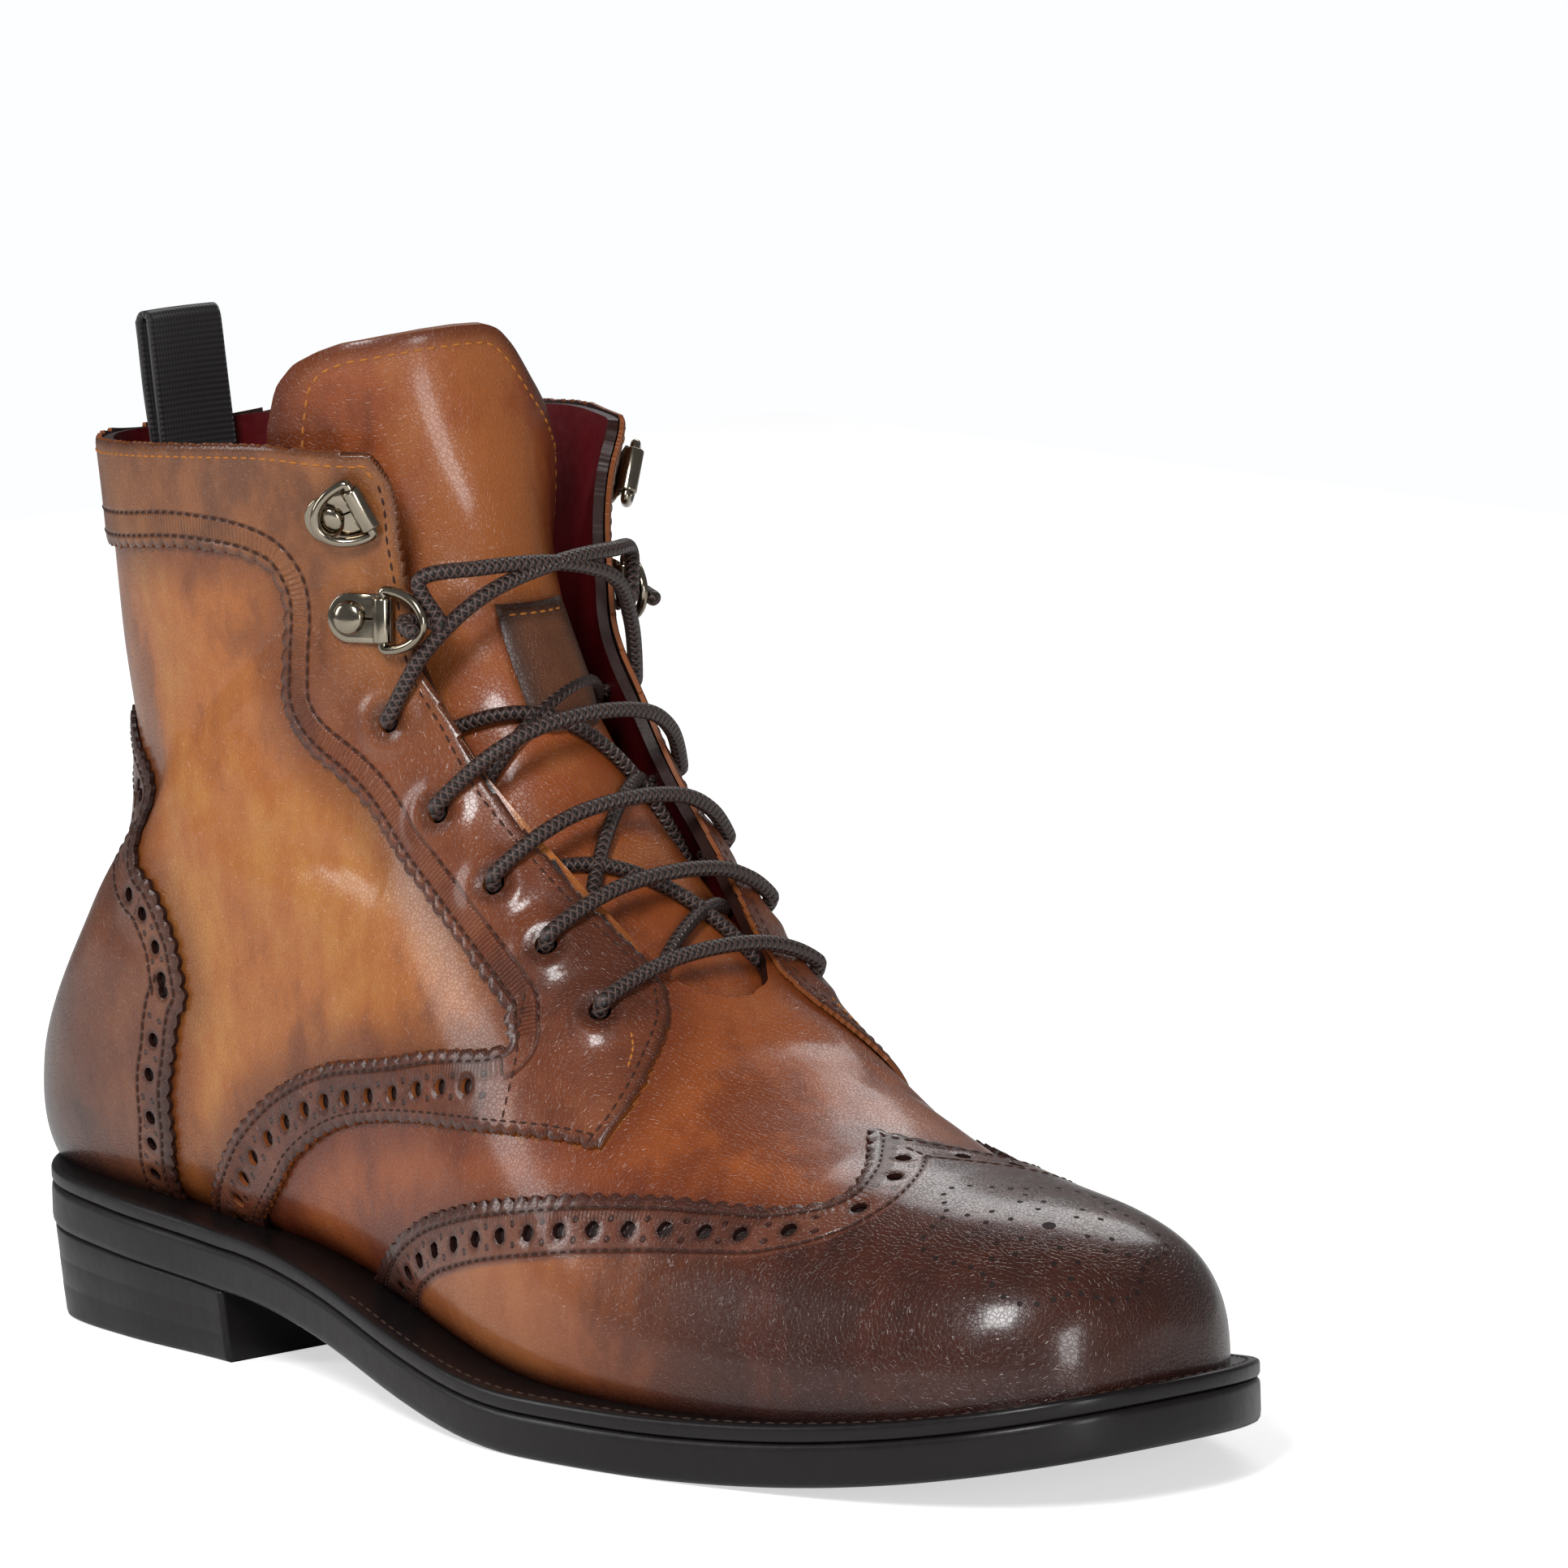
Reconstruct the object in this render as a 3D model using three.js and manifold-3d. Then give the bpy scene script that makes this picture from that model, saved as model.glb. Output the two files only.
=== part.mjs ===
// Lace-up ankle boot for the right foot, brogued, on a stacked heel.
// Millimetres, +Z up. The origin is the centre of the heel's tread face on the floor,
// +X points to the toe and +Y to the inner (medial) side of the foot.
import * as THREE from 'three';
import { mergeVertices } from 'three/addons/utils/BufferGeometryUtils.js';
import Module from 'manifold-3d';

const wasm = await Module();
wasm.setup();

// Driving sizes of the foot form, which is the outer face of the upper
const UPPER_LENGTH = 300;
const BALL_WIDTH = 92;
const INSTEP_RISE = 100;
const SHAFT_RISE = 148;

// Sole and heel
const HEEL_HEIGHT = 19;
const HEEL_BREAST_HEIGHT = 14.2;
const HEEL_FRONT = 40;
const HEEL_BACK = -36;
const HEEL_TAPER = 1.6;
const HEEL_INSET = 0.5;
const BALL_BACK = 148;
const BALL_FRONT = 172;
const TOE_TIP = 266;
const TOE_SPRING = 11;
const TOE_LEAN = 5;
const TOE_LEAN_START = 120;
const TOE_LEAN_END = 250;
const OUTSOLE_THICKNESS = 8.4;
const WELT_THICKNESS = 3.4;
const INSOLE_THICKNESS = 3;

// Leather and clearances
const WALL = 2;
const GAP = 0.3;
const OVERLAY = 1.2;
const TONGUE_THICKNESS = 2.5;
const TONGUE_SETBACK = 11;
const TONGUE_SETBACK_START = 6.6;
const TONGUE_SETBACK_END = 14;
const TONGUE_ROUND = 2.1;
const TONGUE_HALF_WIDTH = 32;
const TONGUE_TOE_HALF_WIDTH = 19;
const TONGUE_RISE = 25;
const TONGUE_SHOULDER = 13;
const TONGUE_START = 6.2;

// Lace, its holes and the loop that keeps it on the tongue
const LACE_RADIUS = 1.5;
const HOLE_RADIUS = 2.2;
const KEEPER_HALF_WIDTH = 8.5;
const KEEPER_THICKNESS = 1.2;
const KEEPER_HEIGHT = 23;
const KEEPER_DROP = 41;

// Pull loop inside the back of the collar
const PULL_HALF_WIDTH = 11.5;
const PULL_THICKNESS = 1.4;
const PULL_OPENING = 2;
const PULL_RISE = 23;
const PULL_DEPTH = 22;
const PULL_CORNER = 2.5;

// Ring fittings: a plate with a rolled barrel, a rivet and a D-ring in the barrel
const PLATE_THICKNESS = 0.9;
const PLATE_HALF_WIDTH = 4.7;
const PLATE_RIVET_BACK = 3.2;
const PLATE_BARREL_AHEAD = 4.4;
const PLATE_CLEAR = 0.5;
const BARREL_HALF_LENGTH = 4.2;
const BARREL_RADIUS = 1.9;
const BARREL_BORE = 1.25;
const WIRE_RADIUS = 0.95;
const RING_HALF_HEIGHT = 5.6;
const RING_DEPTH = 9.1;
const RING_CORNER = 0.9;
const RIVET_RADIUS = 3.3;
const RIVET_HEIGHT = 1.6;
const UPPER_RING_TWIST = 23;
const UPPER_RING_ANGLE = 168;
const LACED_RING_ANGLE = 8;

// Directions
const X_AXIS = new THREE.Vector3(1, 0, 0);
const Y_AXIS = new THREE.Vector3(0, 1, 0);
const Z_AXIS = new THREE.Vector3(0, 0, 1);

// Sections of the foot form from the toe tip to above the collar. Each is a closed curve on
// a chord from a back point to a front point. X is a share of UPPER_LENGTH. Heights are over
// the welt at the same X, the back ones shares of SHAFT_RISE and the front ones of
// INSTEP_RISE. The half widths and the middle's offsets are shares of BALL_WIDTH. widest is
// the share of the chord at which the section is widest, flat and round are the powers of
// the rounding below and above it.
const SECTION_COLUMNS = ['backX', 'backZ', 'frontX', 'frontZ', 'lateral', 'medial', 'ridge',
  'base', 'widest', 'flat', 'round'];
const SECTIONS = [
  [0.868, -0.044, 0.867, 0.086, 0.000, 0.000, 0.060, 0.060, 0.42, 3.00, 2.20],
  [0.860, -0.051, 0.853, 0.194, 0.168, 0.168, 0.060, 0.060, 0.40, 3.20, 2.20],
  [0.830, -0.052, 0.822, 0.273, 0.293, 0.293, 0.058, 0.058, 0.36, 3.20, 2.20],
  [0.780, -0.051, 0.772, 0.333, 0.386, 0.380, 0.054, 0.054, 0.33, 3.20, 2.20],
  [0.707, -0.046, 0.697, 0.385, 0.457, 0.440, 0.054, 0.049, 0.31, 3.20, 2.20],
  [0.617, -0.041, 0.610, 0.455, 0.500, 0.484, 0.049, 0.033, 0.30, 3.20, 2.20],
  [0.523, -0.041, 0.533, 0.582, 0.516, 0.478, 0.043, 0.011, 0.30, 3.10, 2.25],
  [0.423, -0.042, 0.468, 0.750, 0.495, 0.440, 0.033, 0.000, 0.31, 3.00, 2.35],
  [0.317, -0.047, 0.415, 0.910, 0.446, 0.402, 0.022, 0.000, 0.32, 2.80, 2.50],
  [0.200, -0.052, 0.375, 1.056, 0.408, 0.380, 0.011, 0.000, 0.33, 2.70, 2.60],
  [0.060, -0.053, 0.350, 1.192, 0.391, 0.380, 0.005, 0.000, 0.34, 2.60, 2.70],
  [-0.097, -0.063, 0.333, 1.313, 0.397, 0.386, 0.000, 0.000, 0.35, 2.30, 2.80],
  [-0.130, 0.041, 0.325, 1.413, 0.397, 0.391, 0.000, 0.000, 0.38, 2.15, 2.90],
  [-0.102, 0.179, 0.320, 1.505, 0.386, 0.391, 0.000, 0.000, 0.42, 1.95, 2.90],
  [-0.052, 0.328, 0.320, 1.595, 0.375, 0.391, 0.000, 0.000, 0.45, 1.90, 2.90],
  [-0.030, 0.486, 0.322, 1.676, 0.391, 0.408, 0.000, 0.000, 0.47, 2.00, 3.00],
  [-0.033, 0.668, 0.325, 1.768, 0.413, 0.418, 0.000, 0.000, 0.48, 2.15, 3.00],
  [-0.040, 0.870, 0.330, 1.871, 0.424, 0.429, 0.000, 0.000, 0.48, 2.20, 3.00],
  [-0.053, 1.071, 0.337, 1.975, 0.435, 0.440, 0.000, 0.000, 0.48, 2.20, 3.00],
  [-0.067, 1.299, 0.347, 2.210, 0.446, 0.451, 0.000, 0.000, 0.48, 2.20, 3.00],
];
const SECTION_EVEN = ['backX', 'frontX'];
const LAST_SECTION = SECTIONS.length - 1;

// Sole outline from the toe tip to the back of the heel: X as a share of UPPER_LENGTH,
// half widths as shares of BALL_WIDTH
const SOLE_COLUMNS = ['x', 'lateral', 'medial'];
const SOLE_ROWS = [
  [0.887, 0.000, 0.000],
  [0.877, 0.189, 0.189],
  [0.843, 0.324, 0.352],
  [0.793, 0.418, 0.452],
  [0.727, 0.484, 0.516],
  [0.640, 0.536, 0.561],
  [0.550, 0.573, 0.565],
  [0.460, 0.576, 0.516],
  [0.360, 0.530, 0.446],
  [0.250, 0.458, 0.402],
  [0.127, 0.408, 0.391],
  [0.017, 0.391, 0.397],
  [-0.067, 0.334, 0.348],
  [-0.113, 0.169, 0.190],
  [-0.128, 0.000, 0.000],
];
const SOLE_EVEN = ['x'];
const LAST_SOLE_ROW = SOLE_ROWS.length - 1;

function clamp01(value) {
  return Math.min(Math.max(value, 0), 1);
}

function smooth(value) {
  const u = clamp01(value);
  return u * u * (3 - 2 * u);
}

// Catmull-Rom reading of a table's column, mirrored at both ends
function readColumn(rows, columns, even, name, t) {
  const k = columns.indexOf(name);
  const last = rows.length - 1;
  const value = (i) => {
    if (i < 0) {
      return even.includes(name) ? rows[1][k] : 2 * rows[0][k] - rows[1][k];
    }
    if (i > last) {
      return even.includes(name) ? rows[last - 1][k] : 2 * rows[last][k] - rows[last - 1][k];
    }
    return rows[i][k];
  };
  const held = Math.min(Math.max(t, 0), last);
  const i = Math.min(Math.floor(held), last - 1);
  const f = held - i;
  const [a, b, c, d] = [value(i - 1), value(i), value(i + 1), value(i + 2)];
  return 0.5 * (2 * b + (c - a) * f + (2 * a - 5 * b + 4 * c - d) * f ** 2
    + (3 * b - a - 3 * c + d) * f ** 3);
}

// Underside of the outsole: flat at the ball, toe spring ahead, arch up to the heel behind
function treadLine(x) {
  if (x > BALL_FRONT) {
    return TOE_SPRING * ((x - BALL_FRONT) / (TOE_TIP - BALL_FRONT)) ** 2;
  }
  if (x > HEEL_FRONT) {
    return HEEL_BREAST_HEIGHT * smooth((BALL_BACK - x) / (BALL_BACK - HEEL_FRONT));
  }
  const rise = (HEEL_FRONT - x) / (HEEL_FRONT - HEEL_BACK);
  return HEEL_BREAST_HEIGHT + (HEEL_HEIGHT - HEEL_BREAST_HEIGHT) * rise;
}

function outsoleTop(x) {
  return treadLine(x) + OUTSOLE_THICKNESS;
}

function weltTop(x) {
  return outsoleTop(x) + WELT_THICKNESS;
}

// The middle of the forefoot leans to the medial side
function toeLean(x) {
  return TOE_LEAN * smooth((x - TOE_LEAN_START) / (TOE_LEAN_END - TOE_LEAN_START));
}

// A place on the boot's side view, from shares of the length and of the shaft's rise
function sidePoint([x, z]) {
  return new THREE.Vector2(x * UPPER_LENGTH, weltTop(x * UPPER_LENGTH) + z * SHAFT_RISE);
}

function tongueSetback(t) {
  const reach = TONGUE_SETBACK_END - TONGUE_SETBACK_START;
  return TONGUE_SETBACK * smooth((t - TONGUE_SETBACK_START) / reach);
}

// Point of a section of the foot form. psi is 0 at the base and +-PI at the ridge, positive
// on the medial side. The tongue's form is rounder and set back from the upper's.
function formPoint(t, psi, tongue = false) {
  const read = (name) => readColumn(SECTIONS, SECTION_COLUMNS, SECTION_EVEN, name, t);
  const backX = read('backX') * UPPER_LENGTH;
  const frontX = read('frontX') * UPPER_LENGTH;
  const back = new THREE.Vector2(backX, weltTop(backX) + read('backZ') * SHAFT_RISE);
  const front = new THREE.Vector2(frontX, weltTop(frontX) + read('frontZ') * INSTEP_RISE);
  const chord = front.clone().sub(back);
  if (tongue) {
    front.addScaledVector(chord.clone().normalize(), -tongueSetback(t));
    chord.copy(front).sub(back);
  }
  const low = Math.abs(psi) <= Math.PI / 2;
  const roundPower = tongue ? TONGUE_ROUND : read('round');
  const power = 2 / (low ? read('flat') : roundPower);
  const rise = Math.abs(Math.cos(psi)) ** power;
  const spread = Math.abs(Math.sin(psi)) ** power;
  const widest = read('widest');
  const along = low ? widest * (1 - rise) : widest + (1 - widest) * rise;
  const half = (psi < 0 ? -read('lateral') : read('medial')) * BALL_WIDTH;
  const base = read('base') * BALL_WIDTH;
  const ridge = read('ridge') * BALL_WIDTH;
  const middle = low ? base : base + (ridge - base) * rise;
  return new THREE.Vector3(back.x + chord.x * along, middle + half * spread,
    back.y + chord.y * along);
}

// Outward normal of the form by differences of a small step in section and in turn
const SLOPE_STEP = 0.02;

function formNormal(t, psi, tongue = false) {
  const step = SLOPE_STEP;
  if (t < step) {
    const chord = formPoint(0, Math.PI, tongue).sub(formPoint(0, 0, tongue));
    return new THREE.Vector3(chord.z, 0, -chord.x).normalize();
  }
  const around = formPoint(t, psi + step, tongue).sub(formPoint(t, psi - step, tongue));
  const ahead = formPoint(Math.min(t + step, LAST_SECTION), psi, tongue)
    .sub(formPoint(t - step, psi, tongue));
  return ahead.cross(around).normalize();
}

function offsetPoint(t, psi, offset, tongue = false) {
  return formPoint(t, psi, tongue).addScaledVector(formNormal(t, psi, tongue), offset);
}

// A closed solid from points and triangles, with shared points merged and faces outward
function closedSolid(points, triangles) {
  const geometry = new THREE.BufferGeometry();
  geometry.setAttribute('position', new THREE.Float32BufferAttribute(
    points.flatMap((p) => [p.x, p.y, p.z]), 3));
  geometry.setIndex(triangles.flat());
  return solidOf(geometry);
}

const MERGE_DISTANCE = 1e-4;

function solidOf(geometry) {
  const bare = geometry.clone();
  bare.deleteAttribute('normal');
  bare.deleteAttribute('uv');
  const merged = mergeVertices(bare, MERGE_DISTANCE);
  const p = merged.getAttribute('position');
  const index = Array.from(merged.index.array);
  const corner = (i) => new THREE.Vector3().fromBufferAttribute(p, i);
  const kept = [];
  let volume = 0;
  for (let i = 0; i < index.length; i += 3) {
    const [a, b, c] = index.slice(i, i + 3);
    if (a !== b && b !== c && c !== a) {
      kept.push(a, b, c);
      volume += corner(a).dot(corner(b).cross(corner(c)));
    }
  }
  if (volume < 0) {
    kept.reverse();
  }
  return new wasm.Manifold(new wasm.Mesh({
    numProp: 3,
    vertProperties: new Float32Array(p.array),
    triVerts: new Uint32Array(kept),
  }));
}

// Rings of equal count joined in a row and capped with fans
function loftSolid(rings) {
  const n = rings[0].length;
  const points = rings.flat();
  const triangles = [];
  for (let i = 0; i + 1 < rings.length; i += 1) {
    for (let j = 0; j < n; j += 1) {
      const a = i * n + j;
      const b = i * n + (j + 1) % n;
      triangles.push([a, b, a + n], [b, b + n, a + n]);
    }
  }
  const middle = (ring) => ring.reduce((s, p) => s.add(p), new THREE.Vector3())
    .divideScalar(n);
  const first = points.push(middle(rings[0])) - 1;
  const last = points.push(middle(rings[rings.length - 1])) - 1;
  const end = (rings.length - 1) * n;
  for (let j = 0; j < n; j += 1) {
    triangles.push([first, (j + 1) % n, j], [last, end + j, end + (j + 1) % n]);
  }
  return closedSolid(points, triangles);
}

// Rows of the form's grid, closer at the toe, and the corners of each row
const STATIONS = [0, 0.35, 0.9, 1.5, 2.2, 3, 4, 5, 5.8, 6.6, 7.4, 8.2, 9, 9.8, 10.6, 11.3, 12,
  13, 14, 15.5, 17.3, LAST_SECTION];
const AROUND = 24;

// The whole form, grown or shrunk by an offset. The toe's first section is a single line, on
// which the two sides meet.
function formSolid(offset, tongue = false) {
  const angle = (j) => (j / AROUND) * 2 * Math.PI - Math.PI;
  const rings = STATIONS.map((t) => Array.from({ length: AROUND }, (_, j) =>
    offsetPoint(t, angle(j), offset, tongue)));
  const half = AROUND / 2;
  for (let j = 1; j < half; j += 1) {
    rings[0][AROUND - j].copy(rings[0][j]);
  }
  const points = rings.flat();
  const triangles = [];
  for (let i = 0; i + 1 < rings.length; i += 1) {
    for (let j = 0; j < AROUND; j += 1) {
      const a = i * AROUND + j;
      const b = i * AROUND + (j + 1) % AROUND;
      triangles.push([a, b, a + AROUND], [b, b + AROUND, a + AROUND]);
    }
  }
  const end = (rings.length - 1) * AROUND;
  const top = points.push(formPoint(LAST_SECTION, 0).lerp(
    formPoint(LAST_SECTION, Math.PI), 0.5)) - 1;
  for (let j = 0; j < AROUND; j += 1) {
    triangles.push([top, end + j, end + (j + 1) % AROUND]);
  }
  return closedSolid(points, triangles);
}

// A side-view outline (X, Z) carried along Y from one side to the other
function sidePrism(outline, fromY, toY) {
  const geometry = new THREE.ExtrudeGeometry(new THREE.Shape(outline),
    { depth: toY - fromY, bevelEnabled: false });
  geometry.applyMatrix4(new THREE.Matrix4().makeBasis(X_AXIS, Z_AXIS, Y_AXIS.clone().negate()));
  geometry.translate(0, toY, 0);
  return solidOf(geometry);
}

// A front-view outline (Y, Z) carried along X
function frontPrism(outline, fromX, toX) {
  const geometry = new THREE.ExtrudeGeometry(new THREE.Shape(outline),
    { depth: toX - fromX, bevelEnabled: false });
  geometry.applyMatrix4(new THREE.Matrix4().makeBasis(Y_AXIS, Z_AXIS, X_AXIS));
  geometry.translate(fromX, 0, 0);
  return solidOf(geometry);
}

// A smooth line through chosen side-view places
function sideCurve(shares, steps = 4) {
  return new THREE.SplineCurve(shares.map(sidePoint)).getPoints((shares.length - 1) * steps);
}

// How far the cutting shapes reach past the boot
const SIDE_REACH = BALL_WIDTH;
const ABOVE_ALL = 3 * SHAFT_RISE;
const BELOW_ALL = -BALL_WIDTH;
const FAR_BACK = -UPPER_LENGTH / 2;
const FAR_FRONT = 1.2 * UPPER_LENGTH;

// A box across the whole width, from X and Z ranges
function sideBox(fromX, toX, fromZ, toZ) {
  return sidePrism([
    new THREE.Vector2(fromX, fromZ),
    new THREE.Vector2(toX, fromZ),
    new THREE.Vector2(toX, toZ),
    new THREE.Vector2(fromX, toZ),
  ], -SIDE_REACH, SIDE_REACH);
}

// Sole parts
const SOLE_STEPS = 34;

function soleEdge(side, t, inset) {
  const at = (s) => {
    const x = readColumn(SOLE_ROWS, SOLE_COLUMNS, SOLE_EVEN, 'x', s) * UPPER_LENGTH;
    const half = readColumn(SOLE_ROWS, SOLE_COLUMNS, SOLE_EVEN, side, s) * BALL_WIDTH;
    return new THREE.Vector2(x, toeLean(x) + (side === 'lateral' ? -half : half));
  };
  const place = at(t);
  if (t < SLOPE_STEP) {
    return place.add(new THREE.Vector2(-inset, 0));
  }
  if (t > LAST_SOLE_ROW - SLOPE_STEP) {
    return place.add(new THREE.Vector2(inset, 0));
  }
  const along = at(t + SLOPE_STEP).sub(at(t - SLOPE_STEP)).normalize();
  const turn = side === 'lateral' ? 1 : -1;
  return place.addScaledVector(new THREE.Vector2(along.y, -along.x), turn * inset);
}

// A layer of the sole between two heights, each a function of X, with an inset for each face
function soleLayer(bottom, top, bottomInset, topInset) {
  const rings = [];
  for (let i = 0; i <= SOLE_STEPS; i += 1) {
    const u = i / SOLE_STEPS;
    const t = LAST_SOLE_ROW * (0.5 - 0.5 * Math.cos(Math.PI * u));
    const lower = ['lateral', 'medial'].map((side) => soleEdge(side, t, bottomInset));
    const upper = ['medial', 'lateral'].map((side) => soleEdge(side, t, topInset));
    rings.push([
      ...lower.map((p) => new THREE.Vector3(p.x, p.y, bottom(p.x))),
      ...upper.map((p) => new THREE.Vector3(p.x, p.y, top(p.x))),
    ]);
  }
  return loftSolid(rings);
}

const floorLine = () => 0;
const heelTop = (x) => treadLine(x) - GAP;
const weltBottom = (x) => outsoleTop(x) + GAP;
const insoleTop = (x) => weltBottom(x) + INSOLE_THICKNESS;
const overlayBottom = (x) => weltTop(x) + GAP;

const OVERLAY_FACE = GAP + OVERLAY;
const LINING_CLEAR = -WALL - GAP;
const formOuter = formSolid(0);
const formInner = formSolid(-WALL);
const formClear = formSolid(GAP);
const formOverlay = formSolid(OVERLAY_FACE);
const formInsole = formSolid(LINING_CLEAR);
const overlayShell = formOverlay.subtract(formClear);

function makeOutsole() {
  return soleLayer(treadLine, outsoleTop, 0, 0);
}

function makeHeel() {
  const block = soleLayer(floorLine, heelTop, HEEL_INSET + HEEL_TAPER, HEEL_INSET);
  return block.intersect(sideBox(FAR_BACK, HEEL_FRONT, BELOW_ALL, ABOVE_ALL));
}

function makeWelt() {
  return soleLayer(weltBottom, weltTop, 0, 0).subtract(formClear);
}

function makeInsole() {
  return soleLayer(weltBottom, insoleTop, 0, 0).intersect(formInsole);
}

// What lies below a line along the sole, given as a function of X
const LINE_STEPS = 28;
const LINE_MARGIN = 8;

function belowLine(heightAt) {
  const line = [];
  const start = HEEL_BACK - LINE_MARGIN;
  const end = TOE_TIP + LINE_MARGIN;
  for (let i = 0; i <= LINE_STEPS; i += 1) {
    const x = start + (end - start) * (i / LINE_STEPS);
    line.push(new THREE.Vector2(x, heightAt(x)));
  }
  line.push(new THREE.Vector2(FAR_FRONT, BELOW_ALL), new THREE.Vector2(FAR_BACK, BELOW_ALL));
  return sidePrism(line, -SIDE_REACH, SIDE_REACH);
}

// Collar line in side view, with the rounded top corner of the facings
const COLLAR = [[-0.100, 0.965], [-0.040, 0.975], [0.000, 0.985], [0.067, 1.005], [0.150, 1.030],
  [0.220, 1.049], [0.260, 1.056], [0.279, 1.040], [0.291, 1.000], [0.296, 0.950]];
const COLLAR_BACK = sidePoint(COLLAR[1]).y;
const COLLAR_TOP = sidePoint(COLLAR[6]).y;

function aboveCollar() {
  const line = sideCurve(COLLAR);
  line.push(new THREE.Vector2(FAR_FRONT, line[line.length - 1].y));
  line.push(new THREE.Vector2(FAR_FRONT, ABOVE_ALL), new THREE.Vector2(FAR_BACK, ABOVE_ALL));
  return sidePrism(line, -SIDE_REACH, SIDE_REACH);
}

// Half width of the throat between the facings, as a share of BALL_WIDTH, by section
const THROAT_COLUMNS = ['section', 'half'];
const THROAT_ROWS = [
  [6.55, 0.020],
  [6.65, 0.085],
  [6.90, 0.125],
  [7.75, 0.173],
  [8.50, 0.205],
  [9.30, 0.228],
  [10.4, 0.245],
  [12.0, 0.258],
  [14.4, 0.280],
  [19.0, 0.300],
];

function throatHalf(t) {
  const k = THROAT_COLUMNS.indexOf('half');
  for (let i = 0; i + 1 < THROAT_ROWS.length; i += 1) {
    const [from, to] = [THROAT_ROWS[i], THROAT_ROWS[i + 1]];
    if (t <= to[0]) {
      const f = clamp01((t - from[0]) / (to[0] - from[0]));
      return (from[k] + (to[k] - from[k]) * f) * BALL_WIDTH;
    }
  }
  return THROAT_ROWS[THROAT_ROWS.length - 1][k] * BALL_WIDTH;
}

// A block over the ridge of the form between two half widths, from one section to the last
const RIDGE_REACH = 1.5;

function ridgeBlock(stations, halfAt, fromShare) {
  const rings = stations.map((t) => {
    const base = formPoint(t, 0);
    const ridge = formPoint(t, Math.PI);
    const half = halfAt(t);
    const corner = (share, side) => {
      const p = base.clone().lerp(ridge, share);
      return new THREE.Vector3(p.x, ridge.y + side * half, p.z);
    };
    return [corner(fromShare, -1), corner(RIDGE_REACH, -1), corner(RIDGE_REACH, 1),
      corner(fromShare, 1)];
  });
  return loftSolid(rings);
}

const THROAT_FLOOR = 0.72;
const throatCut = ridgeBlock(THROAT_ROWS.map((row) => row[0]), throatHalf, THROAT_FLOOR);
const collarCut = aboveCollar();
const overlayFloor = belowLine(overlayBottom);

// The tongue runs from under the vamp to above the collar, with rounded shoulders
const TONGUE_WIDENS = 5;
const TONGUE_FLOOR = 0.5;
const TONGUE_STATIONS = [TONGUE_START, 7, 8, 9, 10, 11, 12, 14, 16, 18, LAST_SECTION];
const SHOULDER_POWER = 3.2;
const SHOULDER_STEPS = 14;

function tongueHalf(t) {
  const grow = smooth((t - TONGUE_START) / TONGUE_WIDENS);
  return TONGUE_TOE_HALF_WIDTH + (TONGUE_HALF_WIDTH - TONGUE_TOE_HALF_WIDTH) * grow;
}

function makeTongue() {
  const strip = ridgeBlock(TONGUE_STATIONS, tongueHalf, TONGUE_FLOOR);
  const top = COLLAR_TOP + TONGUE_RISE;
  const edge = TONGUE_HALF_WIDTH + GAP;
  const shape = [];
  for (let i = 0; i <= SHOULDER_STEPS; i += 1) {
    const across = 2 * (i / SHOULDER_STEPS) - 1;
    shape.push(new THREE.Vector2(across * edge,
      top - TONGUE_SHOULDER * Math.abs(across) ** SHOULDER_POWER));
  }
  shape.push(new THREE.Vector2(edge, BELOW_ALL), new THREE.Vector2(-edge, BELOW_ALL));
  return formSolid(LINING_CLEAR, true)
    .subtract(formSolid(LINING_CLEAR - TONGUE_THICKNESS, true))
    .intersect(strip)
    .intersect(frontPrism(shape, FAR_BACK, FAR_FRONT));
}

// The section that parts the front of the shaft from its back
const SHAFT_MIDDLE = 16;

// A flat loop of leather on the face of the tongue
function makeKeeper() {
  const face = LINING_CLEAR + GAP;
  const top = COLLAR_TOP - KEEPER_DROP + KEEPER_HEIGHT / 2;
  const outline = [
    new THREE.Vector2(-KEEPER_HALF_WIDTH, top - KEEPER_HEIGHT),
    new THREE.Vector2(KEEPER_HALF_WIDTH, top - KEEPER_HEIGHT),
    new THREE.Vector2(KEEPER_HALF_WIDTH, top),
    new THREE.Vector2(-KEEPER_HALF_WIDTH, top),
  ];
  const front = formPoint(SHAFT_MIDDLE, Math.PI, true).lerp(formPoint(SHAFT_MIDDLE, 0, true), 0.5);
  return formSolid(face + KEEPER_THICKNESS, true)
    .subtract(formSolid(face, true))
    .intersect(frontPrism(outline, front.x, FAR_FRONT));
}

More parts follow.
